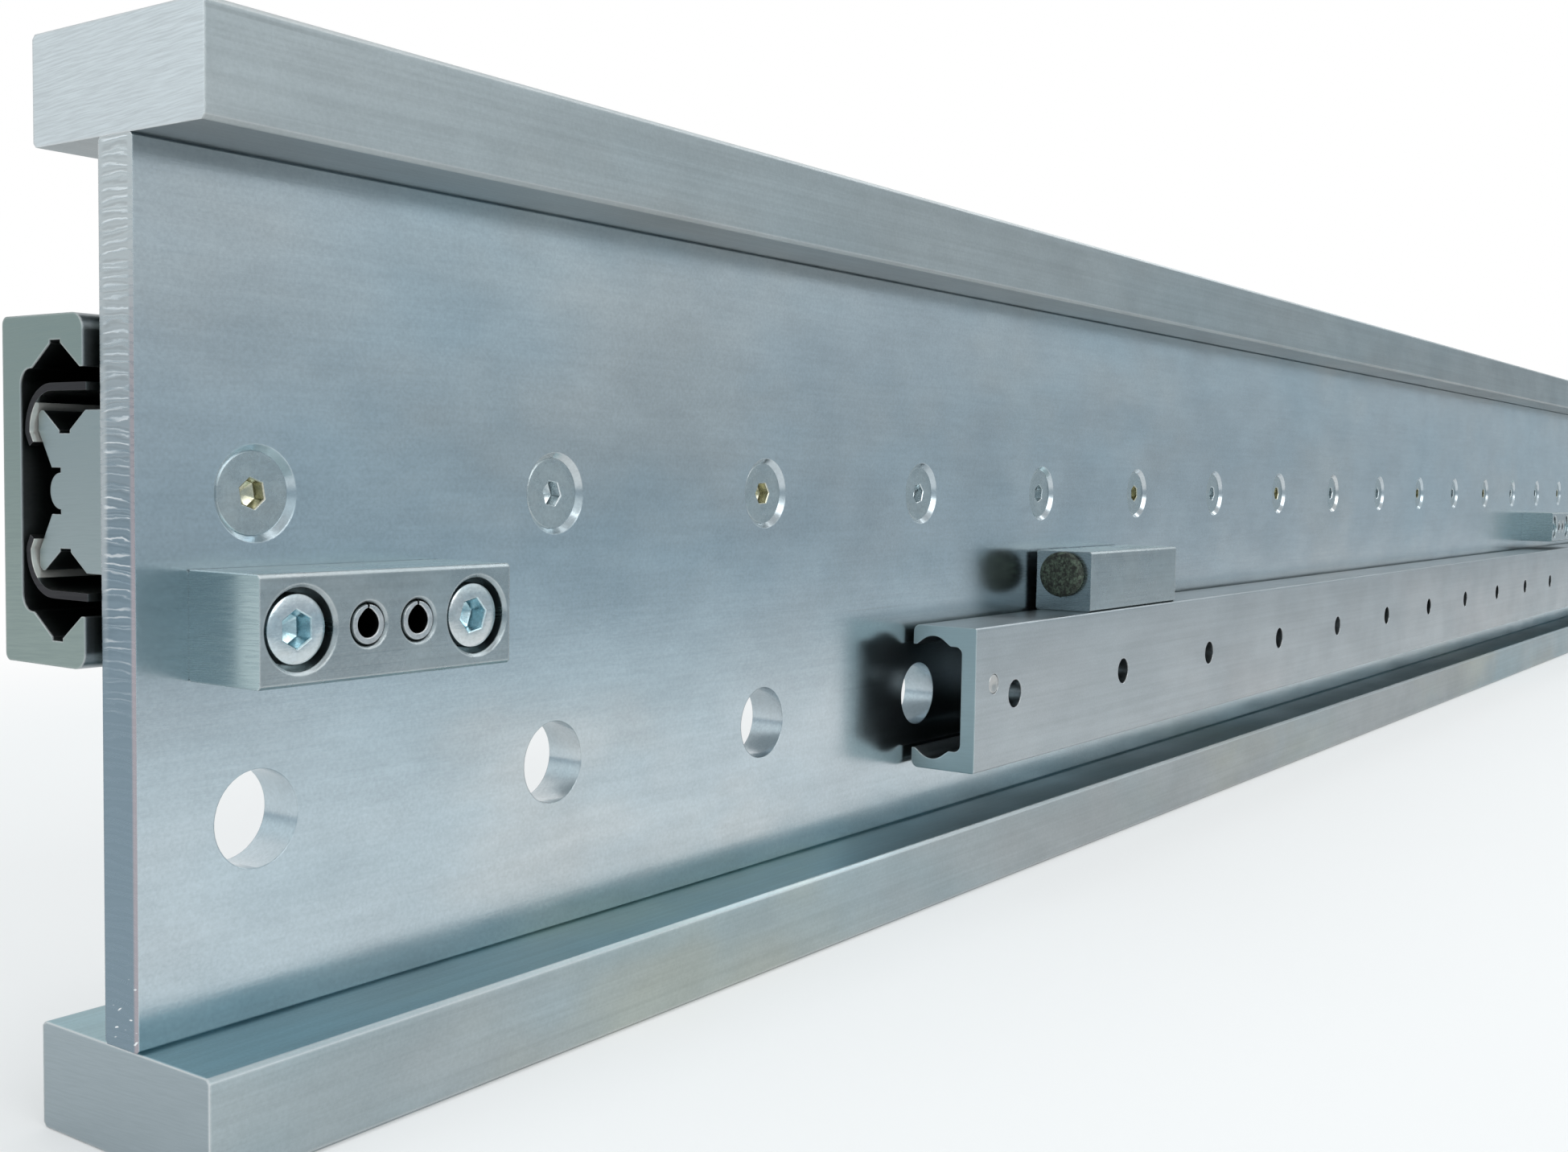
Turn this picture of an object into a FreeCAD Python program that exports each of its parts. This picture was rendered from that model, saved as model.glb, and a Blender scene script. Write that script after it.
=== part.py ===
import FreeCAD, Part
import math
import os

# A telescopic slide rail: an I-beam that rides on a fixed rail behind it and carries a moving
# rail in front. Millimetres. +X runs along the rails, +Z is up and -Y is the moving rail's side.
# The origin is the middle of the beam's resting face, straight below the web.

# Beam: a web plate between two flange bars
BEAM_LENGTH = 1890.0
WEB_HEIGHT = 160.0
WEB_THICKNESS = 10.0
WEB_EDGE = 0.6
FLANGE_WIDTH = 50.0
FLANGE_THICKNESS = 20.0
FLANGE_EDGE = 0.8

# Rows of holes along the beam and the rails
HOLE_PITCH = 80.0
FIRST_HOLE = 25.0
BACK_ROW_HEIGHT = 118.5
FRONT_ROW_HEIGHT = 58.0
ACCESS_HOLE_DIAMETER = 18.7
RAIL_HOLE_DIAMETER = 8.6

# Where the rails and cages stand along the beam when at rest
FIXED_RAIL_PROUD = 1.7
MOVING_RAIL_SHIFT = 259.5
CAGE_INSET = 0.4
SLIDER_LENGTH = 1250.0
CAGE_LENGTH = 1240.0
STAGE_STROKE = 950.0
STOP_CLEARANCE = 0.3

# Back guide: the larger rail, with its slider on the back of the web
BACK_RAIL_HEIGHT = 63.0
BACK_RAIL_GAP = 2.6
BACK_RAIL_DEPTH = 25.4
BACK_RAIL_WALL = 5.7
BACK_RAIL_EDGE = 1.5
BACK_LIP_ROUND = 3.0
BACK_MOUTH_HEIGHT = 44.0
BACK_CORNER_RADIUS = 3.0
BACK_GROOVE_RADIUS = 7.2
BACK_GROOVE_CENTRE = 11.1
BACK_GROOVE_SPACING = 37.2
BACK_RELIEF_WIDTH = 3.4
BACK_RELIEF_DEPTH = 0.6
BACK_SLIDER_HEIGHT = 29.0
BACK_NOSE_REACH = 19.3
BACK_NOSE_HEIGHT = 21.8
BACK_RECESS_REACH = 15.2
BACK_RECESS_FLOOR = 12.4
BACK_RECESS_HEIGHT = 8.4
BACK_RIDGE_RADIUS = 3.3
BACK_CAGE_THICKNESS = 1.4
BACK_CAGE_FRONT = 2.2
BACK_SCREW_PITCH = 80.0

# Front guide: the smaller rail, with its slider on the front of the web
FRONT_RAIL_HEIGHT = 43.0
FRONT_RAIL_GAP = 1.7
FRONT_RAIL_DEPTH = 21.3
FRONT_RAIL_WALL = 4.8
FRONT_RAIL_EDGE = 0.7
FRONT_LIP_ROUND = 2.2
FRONT_MOUTH_HEIGHT = 31.2
FRONT_CORNER_RADIUS = 2.2
FRONT_GROOVE_RADIUS = 5.8
FRONT_GROOVE_CENTRE = 8.5
FRONT_GROOVE_SPACING = 25.2
FRONT_SLIDER_HEIGHT = 19.2
FRONT_NOSE_REACH = 15.4
FRONT_NOSE_HEIGHT = 14.4
FRONT_RECESS_REACH = 12.4
FRONT_RECESS_FLOOR = 10.2
FRONT_RECESS_HEIGHT = 5.8
FRONT_RIDGE_RADIUS = 2.0
FRONT_CAGE_THICKNESS = 1.2
FRONT_CAGE_FRONT = 1.4
FRONT_SCREW_PITCH = 240.0

# Balls, the flanks of the grooves that they roll in, and the cage strips that space them
FLANK_ANGLE = 36.0
BALL_CLEARANCE = 0.3
POCKET_CLEARANCE = 0.2
BALLS_PER_CAGE = 6
BALL_SIDES = 8
BALL_RING_LATITUDES = (-60.0, -20.0, 20.0, 60.0)
BALL_END_MARGIN = 12.0
NOSE_CHAMFER = 0.8
HOOK_TURN = 30.0
HOOK_TAIL = 2.0

# Countersunk holes for the screws that hold the sliders
SCREW_DIAMETER = 8.0
SCREW_HOLE_CLEARANCE = 0.2
COUNTERSINK_DIAMETER = 18.2

# Stop blocks, each bored for two cap screws and two spring pins
STOP_LENGTH = 60.0
STOP_HEIGHT = 20.0
STOP_DEPTH = 20.0
STOP_ABOVE_RAIL = 5.5
STOP_FROM_END = 10.5
STOP_SCREW_SPACING = 42.4
STOP_EDGE = 0.6
COUNTERBORE_DIAMETER = 15.0
COUNTERBORE_DEPTH = 9.2
COUNTERBORE_CHAMFER = 0.6
SPRING_PIN_DIAMETER = 8.0
SPRING_PIN_SPACING = 12.0
SPRING_PIN_CHAMFER = 0.5

# Bumper block on the moving rail, with a rubber bumper at each end
BUMPER_BLOCK_FROM_END = 79.5
BUMPER_BLOCK_LENGTH = 72.0
BUMPER_BLOCK_WIDTH = 20.0
BUMPER_BLOCK_HEIGHT = 20.0
BUMPER_BLOCK_INSET = 1.0
BUMPER_DIAMETER = 15.0
BUMPER_THICKNESS = 4.0
BUMPER_EDGE = 1.0
BUMPER_RISE = 2.3

# Pin riveted through the moving rail beside its first hole
PIN_DIAMETER = 6.0
PIN_FROM_END = 11.2
PIN_RISE = 4.2
PIN_REACH = 2.0

# Cutting tools run past the faces that they cut by OVERCUT, and places match within SAME_PLACE
OVERCUT = 1.0
SAME_PLACE = 1e-6

LEFT_END = -BEAM_LENGTH / 2
WEB_FACE = WEB_THICKNESS / 2
ALONG = FreeCAD.Vector(1, 0, 0)
ACROSS = FreeCAD.Vector(0, 1, 0)
UP = FreeCAD.Vector(0, 0, 1)
BACK = 1
FRONT = -1


class Guide:
    """One ball guide's section: reach is measured out from the web's face, rise from the row."""

    def __init__(self, side, row, rail, groove, slider, cage):
        self.side = side
        self.row = row
        (self.rail_height, self.gap, self.depth, self.wall, self.edge, self.lip_round,
         self.mouth, self.corner) = rail
        self.groove_radius, self.groove_reach, spacing, self.relief = groove
        self.groove_rise = spacing / 2
        (self.slider_height, self.nose_reach, self.nose_height, self.recess_reach,
         self.recess_floor, self.recess_height, self.ridge_radius) = slider
        self.cage_thickness, self.cage_front = cage
        self.ball_radius = self.groove_radius - BALL_CLEARANCE
        self.outer_reach = self.gap + self.depth
        self.wall_reach = self.outer_reach - self.wall

    def point(self, x, reach, rise):
        """A point of the part from its place in this guide's section."""
        return FreeCAD.Vector(x, self.side * (WEB_FACE + reach), self.row + rise)

    def slab(self, x, length, reach_from, reach_to, rise_from, rise_to):
        """A box of this guide between two reaches and two rises."""
        near = self.point(x, reach_from, rise_from)
        far = self.point(x + length, reach_to, rise_to)
        corner = FreeCAD.Vector(near.x, min(near.y, far.y), near.z)
        return Part.makeBox(length, abs(far.y - near.y), rise_to - rise_from, corner)

    def rod(self, x, length, radius, reach, rise):
        """A round bar along the rail."""
        return Part.makeCylinder(radius, length, self.point(x, reach, rise), ALONG)

    def prism(self, x, length, section):
        """A bar along the rail whose section is a polygon of reach and rise pairs."""
        corners = [self.point(x, reach, rise) for reach, rise in section]
        face = Part.Face(Part.makePolygon(corners + corners[:1]))
        return face.extrude(ALONG * length)

    def drill(self, x, radius, reach_from, reach_to, rise=0.0):
        """A round bar square to the web, between two reaches."""
        start = self.point(x, reach_from, rise)
        return Part.makeCylinder(radius, reach_to - reach_from, start, ACROSS * self.side)

    def grooves(self, x, length, level, way):
        """The two ball grooves past a level, which widen towards it.

        Way is 1 for a groove that goes out from the row and -1 for one that goes in. A groove ends
        in its narrow relief, or without one in a round crown that follows the balls.
        """
        slope = math.radians(FLANK_ANGLE)
        start = way * (level - self.groove_rise)
        mouth = (self.groove_radius - start * math.cos(slope)) / math.sin(slope)
        near = [(mouth, start - OVERCUT), (mouth, start)]
        if self.relief is None:
            near.append((self.groove_radius * math.sin(slope), self.groove_radius * math.cos(slope)))
        else:
            width, depth = self.relief
            flank = (self.groove_radius - width / 2 * math.sin(slope)) / math.cos(slope)
            near += [(width / 2, flank), (width / 2, flank + depth)]
        far = [(-across, out) for across, out in reversed(near)]
        tools = []
        for half in (1, -1):
            section = [
                (self.groove_reach + across, half * (self.groove_rise + way * out))
                for across, out in near + far
            ]
            tool = self.prism(x, length, section)
            if self.relief is None:
                crown = self.rod(x, length, self.groove_radius, self.groove_reach, half * self.groove_rise)
                tool = tool.fuse(crown)
            tools.append(tool)
        return tools


BACK_GUIDE = Guide(
    BACK, BACK_ROW_HEIGHT,
    (BACK_RAIL_HEIGHT, BACK_RAIL_GAP, BACK_RAIL_DEPTH, BACK_RAIL_WALL, BACK_RAIL_EDGE,
     BACK_LIP_ROUND, BACK_MOUTH_HEIGHT, BACK_CORNER_RADIUS),
    (BACK_GROOVE_RADIUS, BACK_GROOVE_CENTRE, BACK_GROOVE_SPACING,
     (BACK_RELIEF_WIDTH, BACK_RELIEF_DEPTH)),
    (BACK_SLIDER_HEIGHT, BACK_NOSE_REACH, BACK_NOSE_HEIGHT, BACK_RECESS_REACH,
     BACK_RECESS_FLOOR, BACK_RECESS_HEIGHT, BACK_RIDGE_RADIUS),
    (BACK_CAGE_THICKNESS, BACK_CAGE_FRONT),
)
FRONT_GUIDE = Guide(
    FRONT, FRONT_ROW_HEIGHT,
    (FRONT_RAIL_HEIGHT, FRONT_RAIL_GAP, FRONT_RAIL_DEPTH, FRONT_RAIL_WALL, FRONT_RAIL_EDGE,
     FRONT_LIP_ROUND, FRONT_MOUTH_HEIGHT, FRONT_CORNER_RADIUS),
    (FRONT_GROOVE_RADIUS, FRONT_GROOVE_CENTRE, FRONT_GROOVE_SPACING, None),
    (FRONT_SLIDER_HEIGHT, FRONT_NOSE_REACH, FRONT_NOSE_HEIGHT, FRONT_RECESS_REACH,
     FRONT_RECESS_FLOOR, FRONT_RECESS_HEIGHT, FRONT_RIDGE_RADIUS),
    (FRONT_CAGE_THICKNESS, FRONT_CAGE_FRONT),
)

FIXED_RAIL_X = LEFT_END - FIXED_RAIL_PROUD
MOVING_RAIL_X = LEFT_END + MOVING_RAIL_SHIFT
BACK_SLIDER_X = LEFT_END
FRONT_SLIDER_X = LEFT_END + BEAM_LENGTH - SLIDER_LENGTH
BACK_CAGE_X = FIXED_RAIL_X + CAGE_INSET
FRONT_CAGE_X = FRONT_SLIDER_X + MOVING_RAIL_SHIFT / 2
LEFT_STOP_X = LEFT_END + STOP_FROM_END
BUMPER_SPAN = BUMPER_BLOCK_LENGTH + 2 * BUMPER_THICKNESS
RIGHT_STOP_X = LEFT_STOP_X + STOP_LENGTH + BUMPER_SPAN + STAGE_STROKE + 2 * STOP_CLEARANCE
WEB_BOTTOM = FLANGE_THICKNESS
MOVING_RAIL_TOP = FRONT_ROW_HEIGHT + FRONT_RAIL_HEIGHT / 2
STOP_MIDDLE_HEIGHT = MOVING_RAIL_TOP + STOP_ABOVE_RAIL + STOP_HEIGHT / 2


def hole_places(start, length, pitch=HOLE_PITCH):
    """The places of a row of holes that starts a set distance in from one end."""
    count = int((length - 2 * FIRST_HOLE) / pitch + SAME_PLACE) + 1
    return [start + FIRST_HOLE + pitch * i for i in range(count)]


def screw_places():
    """The places of the back and the front slider's screws along the beam."""
    back = hole_places(BACK_SLIDER_X, SLIDER_LENGTH, BACK_SCREW_PITCH)
    front = hole_places(FRONT_SLIDER_X, SLIDER_LENGTH, FRONT_SCREW_PITCH)
    return back, front


def edges_along(shape):
    """The straight edges that run the whole way along +X."""
    return [e for e in shape.Edges if abs(e.tangentAt(e.FirstParameter).x) > 1 - SAME_PLACE]


def edges_at(shape, y):
    """The edges along +X that lie at one place across the part."""
    return [e for e in edges_along(shape) if abs(e.Vertexes[0].Y - y) < SAME_PLACE]


def flange(bottom):
    """A flange bar with its long edges broken."""
    corner = FreeCAD.Vector(LEFT_END, -FLANGE_WIDTH / 2, bottom)
    bar = Part.makeBox(BEAM_LENGTH, FLANGE_WIDTH, FLANGE_THICKNESS, corner)
    return bar.makeChamfer(FLANGE_EDGE, edges_along(bar))


def countersink(guide, x):
    """The screw hole through the web, countersunk on the face opposite the guide."""
    mouth_radius = COUNTERSINK_DIAMETER / 2
    hole_radius = SCREW_DIAMETER / 2 + SCREW_HOLE_CLEARANCE
    mouth = guide.point(x, -WEB_THICKNESS, 0)
    depth = mouth_radius - hole_radius
    cone = Part.makeCone(mouth_radius, hole_radius, depth, mouth, ACROSS * guide.side)
    return cone.fuse(guide.drill(x, hole_radius, -WEB_THICKNESS, OVERCUT))


def web_plate():
    """The web: countersunk behind each slider, with access holes beyond and its long edges broken."""
    corner = FreeCAD.Vector(LEFT_END, -WEB_FACE, WEB_BOTTOM)
    plate = Part.makeBox(BEAM_LENGTH, WEB_THICKNESS, WEB_HEIGHT, corner)
    plate = plate.makeChamfer(WEB_EDGE, edges_along(plate))
    back, front = screw_places()
    tools = [countersink(BACK_GUIDE, x) for x in back]
    tools += [countersink(FRONT_GUIDE, x) for x in front]
    radius = ACCESS_HOLE_DIAMETER / 2
    back_end = BACK_SLIDER_X + SLIDER_LENGTH + radius
    front_end = FRONT_SLIDER_X - radius
    for x in hole_places(LEFT_END, BEAM_LENGTH):
        if x > back_end:
            tools.append(BACK_GUIDE.drill(x, radius, -WEB_THICKNESS - OVERCUT, OVERCUT))
        if x < front_end:
            tools.append(FRONT_GUIDE.drill(x, radius, -WEB_THICKNESS - OVERCUT, OVERCUT))
    return plate.cut(Part.makeCompound(tools))


def rail(guide, x):
    """A C-shaped rail: a channel with a ball groove under each lip and holes along its back."""
    half = guide.rail_height / 2
    bar = guide.slab(x, BEAM_LENGTH, guide.gap, guide.outer_reach, -half, half)
    bar = bar.makeFillet(guide.lip_round, edges_at(bar, guide.point(x, guide.gap, 0).y))
    bar = bar.makeFillet(guide.edge, edges_at(bar, guide.point(x, guide.outer_reach, 0).y))
    start = x - OVERCUT
    length = BEAM_LENGTH + 2 * OVERCUT
    mouth = guide.mouth / 2
    chamber = guide.slab(start, length, guide.gap - OVERCUT, guide.wall_reach, -mouth, mouth)
    chamber = chamber.makeFillet(guide.corner, edges_at(chamber, guide.point(x, guide.wall_reach, 0).y))
    tools = [chamber] + guide.grooves(start, length, mouth, 1)
    radius = RAIL_HOLE_DIAMETER / 2
    for hole_x in hole_places(x, BEAM_LENGTH):
        tools.append(guide.drill(hole_x, radius, guide.wall_reach - OVERCUT, guide.outer_reach + OVERCUT))
    channel = bar
    for tool in tools:
        channel = channel.cut(tool)
    return channel


def moving_rail():
    """The front rail, drilled for the pin beside its first hole."""
    channel = rail(FRONT_GUIDE, MOVING_RAIL_X)
    reach = FRONT_GUIDE.wall_reach - OVERCUT
    end = FRONT_GUIDE.outer_reach + OVERCUT
    hole = FRONT_GUIDE.drill(MOVING_RAIL_X + PIN_FROM_END, PIN_DIAMETER / 2, reach, end, PIN_RISE)
    return channel.cut(hole)


def rail_pin():
    """The pin, flush with the rail's front face and standing a little into its channel."""
    reach = FRONT_GUIDE.wall_reach - PIN_REACH
    end = FRONT_GUIDE.outer_reach
    return FRONT_GUIDE.drill(MOVING_RAIL_X + PIN_FROM_END, PIN_DIAMETER / 2, reach, end, PIN_RISE)


def slider(guide, x):
    """A slider: a bar with two ball grooves and a ridge in its hollowed nose."""
    half = guide.slider_height / 2
    upper = [
        (0.0, half),
        (guide.nose_reach - NOSE_CHAMFER, half),
        (guide.nose_reach, half - NOSE_CHAMFER),
        (guide.nose_reach, guide.nose_height / 2),
        (guide.recess_reach, guide.recess_height / 2),
        (guide.recess_floor, guide.recess_height / 2),
    ]
    lower = [(reach, -rise) for reach, rise in reversed(upper)]
    bar = guide.prism(x, SLIDER_LENGTH, upper + lower)
    bar = bar.fuse(guide.rod(x, SLIDER_LENGTH, guide.ridge_radius, guide.recess_floor, 0)).removeSplitter()
    for tool in guide.grooves(x - OVERCUT, SLIDER_LENGTH + 2 * OVERCUT, half, -1):
        bar = bar.cut(tool)
    return bar


def thickness_line(guide, x, inner, outer):
    """A short line across a strip, from its inner face to its outer face."""
    return Part.makeLine(guide.point(x, *inner), guide.point(x, *outer))


def cage_strip(guide, x):
    """The upper cage: a strip between lip and slider that hooks round the slider's nose."""
    thickness = guide.cage_thickness
    room = (guide.wall_reach - guide.nose_reach - thickness) / 2
    side = guide.nose_reach + room
    under = guide.groove_rise - thickness / 2
    bend_radius = room + NOSE_CHAMFER + thickness
    bend_reach = side - bend_radius
    bend_rise = under - bend_radius
    knee = guide.nose_height / 2
    turn = -guide.side * HOOK_TURN
    front = thickness_line(guide, x, (guide.cage_front, under), (guide.cage_front, under + thickness))
    flat = front.extrude(guide.point(x, bend_reach, 0) - guide.point(x, guide.cage_front, 0))
    over = thickness_line(guide, x, (bend_reach, under), (bend_reach, under + thickness))
    bend = over.revolve(guide.point(x, bend_reach, bend_rise), ALONG, -guide.side * 90)
    beside = thickness_line(guide, x, (side, bend_rise), (side + thickness, bend_rise))
    drop = beside.extrude(UP * (knee - bend_rise))
    below = thickness_line(guide, x, (side, knee), (side + thickness, knee))
    nose_corner = guide.point(x, guide.nose_reach, knee)
    hook = below.revolve(nose_corner, ALONG, turn)
    end = below.copy()
    end.rotate(nose_corner, ALONG, turn)
    tail_way = FreeCAD.Rotation(ALONG, turn).multVec(UP * -HOOK_TAIL)
    tail = end.extrude(tail_way)
    runs = [face.extrude(ALONG * CAGE_LENGTH) for face in (flat, bend, drop, hook, tail)]
    strip = runs[0].fuse(runs[1:]).removeSplitter()
    pockets = []
    for ball_x in ball_places(x):
        centre = guide.point(ball_x, guide.groove_reach, under - OVERCUT)
        ring = ball_ring(centre, guide.ball_radius + POCKET_CLEARANCE)
        pockets.append(Part.Face(ring).extrude(UP * (thickness + 2 * OVERCUT)))
    return strip.cut(Part.makeCompound(pockets))


def ball_ring(centre, radius):
    """A level ring of a faceted ball."""
    turns = [2 * math.pi * (i + 0.5) / BALL_SIDES for i in range(BALL_SIDES)]
    corners = [centre + ALONG * (radius * math.cos(t)) + ACROSS * (radius * math.sin(t)) for t in turns]
    return Part.makePolygon(corners + corners[:1])


def ball(centre, radius):
    """A ball with flat facets, whose corners lie on the round ball."""
    rings = []
    for degrees in BALL_RING_LATITUDES:
        latitude = math.radians(degrees)
        rings.append(ball_ring(centre + UP * (radius * math.sin(latitude)), radius * math.cos(latitude)))
    return Part.makeLoft(rings, True, True)


def balls(guide, x):
    """The upper cage's balls."""
    centres = [guide.point(ball_x, guide.groove_reach, guide.groove_rise) for ball_x in ball_places(x)]
    return [ball(centre, guide.ball_radius) for centre in centres]


def lower(guide, solid):
    """The same piece of the lower half of a guide."""
    return solid.mirror(guide.point(0, 0, 0), UP)


def ball_places(x):
    """The places of a cage's balls, evenly spread from end to end."""
    span = CAGE_LENGTH - 2 * BALL_END_MARGIN
    return [x + BALL_END_MARGIN + span * i / (BALLS_PER_CAGE - 1) for i in range(BALLS_PER_CAGE)]


def stop_places(x, spacing):
    """The places of two holes spread evenly about the middle of a stop block."""
    middle = x + STOP_LENGTH / 2
    return [middle - spacing / 2, middle + spacing / 2]


def stop_drill(x, radius, depth):
    """A round bar into a stop block's front face."""
    start = FreeCAD.Vector(x, -WEB_FACE - STOP_DEPTH - OVERCUT, STOP_MIDDLE_HEIGHT)
    return Part.makeCylinder(radius, depth + OVERCUT, start, ACROSS)


def chamfered_mouth(x, radius, chamfer):
    """A cone that breaks the edge of a hole in a stop block's front face."""
    start = FreeCAD.Vector(x, -WEB_FACE - STOP_DEPTH, STOP_MIDDLE_HEIGHT)
    return Part.makeCone(radius + chamfer, radius, chamfer, start, ACROSS)


def stop_block(x):
    """A stop block, counterbored for its cap screws and drilled for its spring pins."""
    corner = FreeCAD.Vector(x, -WEB_FACE - STOP_DEPTH, STOP_MIDDLE_HEIGHT - STOP_HEIGHT / 2)
    block = Part.makeBox(STOP_LENGTH, STOP_DEPTH, STOP_HEIGHT, corner)
    block = block.makeChamfer(STOP_EDGE, edges_along(block))
    tools = []
    through = STOP_DEPTH + OVERCUT
    for screw_x in stop_places(x, STOP_SCREW_SPACING):
        tools.append(stop_drill(screw_x, SCREW_DIAMETER / 2 + SCREW_HOLE_CLEARANCE, through))
        tools.append(stop_drill(screw_x, COUNTERBORE_DIAMETER / 2, COUNTERBORE_DEPTH))
        tools.append(chamfered_mouth(screw_x, COUNTERBORE_DIAMETER / 2, COUNTERBORE_CHAMFER))
    for pin_x in stop_places(x, SPRING_PIN_SPACING):
        tools.append(stop_drill(pin_x, SPRING_PIN_DIAMETER / 2, through))
        tools.append(chamfered_mouth(pin_x, SPRING_PIN_DIAMETER / 2, SPRING_PIN_CHAMFER))
    for tool in tools:
        block = block.cut(tool)
    return block


def bumper_axis(x):
    """A point at the height and depth of the bumpers."""
    block_front = FRONT_GUIDE.outer_reach - BUMPER_BLOCK_INSET
    rise = FRONT_RAIL_HEIGHT / 2 + BUMPER_BLOCK_HEIGHT / 2 + BUMPER_RISE
    return FRONT_GUIDE.point(x, block_front - BUMPER_BLOCK_WIDTH / 2, rise)


def bumper_ends():
    """Each end of the bumper block: its place along the rail and the way it faces."""
    start = MOVING_RAIL_X + BUMPER_BLOCK_FROM_END
    return [(start, -1), (start + BUMPER_BLOCK_LENGTH, 1)]


def bumper_block():
    """The block on top of the moving rail that carries the bumpers."""
    front = FRONT_GUIDE.outer_reach - BUMPER_BLOCK_INSET
    bottom = FRONT_RAIL_HEIGHT / 2
    x = MOVING_RAIL_X + BUMPER_BLOCK_FROM_END
    block = FRONT_GUIDE.slab(
        x, BUMPER_BLOCK_LENGTH, front - BUMPER_BLOCK_WIDTH, front, bottom, bottom + BUMPER_BLOCK_HEIGHT)
    return block.makeChamfer(STOP_EDGE, edges_along(block))


def bumper(end_x, facing):
    """A rubber bumper: a round pad with its outer edge broken."""
    seat = bumper_axis(end_x)
    pad = Part.makeCylinder(BUMPER_DIAMETER / 2, BUMPER_THICKNESS, seat, ALONG * facing)
    face_x = end_x + facing * BUMPER_THICKNESS
    rim = [e for e in pad.Edges if e.Closed and abs(e.CenterOfMass.x - face_x) < SAME_PLACE]
    return pad.makeChamfer(BUMPER_EDGE, rim)


def save(node, *solids):
    """Write one node's solids, after checking that each is a sound solid."""
    for solid in solids:
        if not solid.isValid() or solid.Volume <= 0:
            raise ValueError(node + " has a faulty solid")
    shape = solids[0] if len(solids) == 1 else Part.makeCompound(list(solids))
    shape.exportStep(os.path.join("parts", node + ".step"))


def save_guide(guide, name, cage_x):
    """Write the two cages of a guide and their balls."""
    strip = cage_strip(guide, cage_x)
    row = balls(guide, cage_x)
    save(name + "_upper_cage", strip)
    save(name + "_lower_cage", lower(guide, strip))
    save(name + "_upper_balls", *row)
    save(name + "_lower_balls", *[lower(guide, one) for one in row])


def main():
    os.makedirs("parts", exist_ok=True)
    save("web_plate", web_plate())
    save("bottom_flange", flange(0.0))
    save("top_flange", flange(WEB_BOTTOM + WEB_HEIGHT))
    save("back_slider", slider(BACK_GUIDE, BACK_SLIDER_X))
    save("front_slider", slider(FRONT_GUIDE, FRONT_SLIDER_X))
    save("fixed_rail", rail(BACK_GUIDE, FIXED_RAIL_X))
    save("moving_rail", moving_rail())
    save("rail_pin", rail_pin())
    save_guide(BACK_GUIDE, "back", BACK_CAGE_X)
    save_guide(FRONT_GUIDE, "front", FRONT_CAGE_X)
    save("left_stop_block", stop_block(LEFT_STOP_X))
    save("right_stop_block", stop_block(RIGHT_STOP_X))
    save("bumper_block", bumper_block())
    for name, (end_x, facing) in zip(("left_bumper", "right_bumper"), bumper_ends()):
        save(name, bumper(end_x, facing))


main()
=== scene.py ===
"""Looks of a telescopic slide rail: finishes, screws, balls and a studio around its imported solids."""

import logging
import math
from abc import ABC, abstractmethod
from dataclasses import dataclass, field, replace
from enum import Enum
from functools import partial, reduce
from typing import Mapping, Sequence

import bmesh
import bpy
from mathutils import Matrix, Vector


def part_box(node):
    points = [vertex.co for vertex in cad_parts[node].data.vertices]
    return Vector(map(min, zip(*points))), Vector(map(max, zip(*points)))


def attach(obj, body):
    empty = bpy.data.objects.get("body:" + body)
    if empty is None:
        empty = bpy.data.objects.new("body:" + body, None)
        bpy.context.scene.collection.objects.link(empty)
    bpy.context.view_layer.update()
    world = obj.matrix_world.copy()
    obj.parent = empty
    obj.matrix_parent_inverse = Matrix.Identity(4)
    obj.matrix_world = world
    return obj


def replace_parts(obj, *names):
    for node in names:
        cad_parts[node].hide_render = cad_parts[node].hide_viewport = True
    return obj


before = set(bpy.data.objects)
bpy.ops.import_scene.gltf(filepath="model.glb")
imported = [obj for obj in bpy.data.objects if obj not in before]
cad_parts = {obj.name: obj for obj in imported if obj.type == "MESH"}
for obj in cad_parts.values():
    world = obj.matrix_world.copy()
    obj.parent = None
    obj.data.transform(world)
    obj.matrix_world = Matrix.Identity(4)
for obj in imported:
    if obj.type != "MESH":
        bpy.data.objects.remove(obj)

Socket = bpy.types.NodeSocket
Sockets = Mapping[str, Socket]
Surface = tuple[Socket, Socket, Socket]
Wire = Socket | float | Sequence[float]
Colour = tuple[float, float, float]
Place = tuple[float, float, float]
Point = tuple[float, float]
Span = tuple[float, float]

MM = 0.001
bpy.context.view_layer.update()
PHOTO_WIDTH = 1949
SHARP_ANGLE = 32.0
HALF_WEB = 5.0
BACK_ROW = 118.5
FRONT_ROW = 58.0
BEAM_END = 0.944
RAIL_END = 0.68
WHITE: Colour = (1.0, 1.0, 1.0)
TO_RIGHT = Vector((1.0, 0.0, 0.0))
TO_BACK = Vector((0.0, 1.0, 0.0))
UPWARD = Vector((0.0, 0.0, 1.0))
log = logging.getLogger("slide_rail")


class Body(str, Enum):
    """The rigid bodies that pieces ride on."""

    BEAM = "beam"
    MOVING_RAIL = "moving_rail"
    BACK_CAGES = "back_cages"
    FRONT_CAGES = "front_cages"


class HeadKind(Enum):
    """The shape of a socket screw's head."""

    COUNTERSUNK = "countersunk"
    CAP = "cap"


class Half(Enum):
    """The upper or the lower half of a ball guide."""

    UPPER = 1
    LOWER = -1


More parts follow.
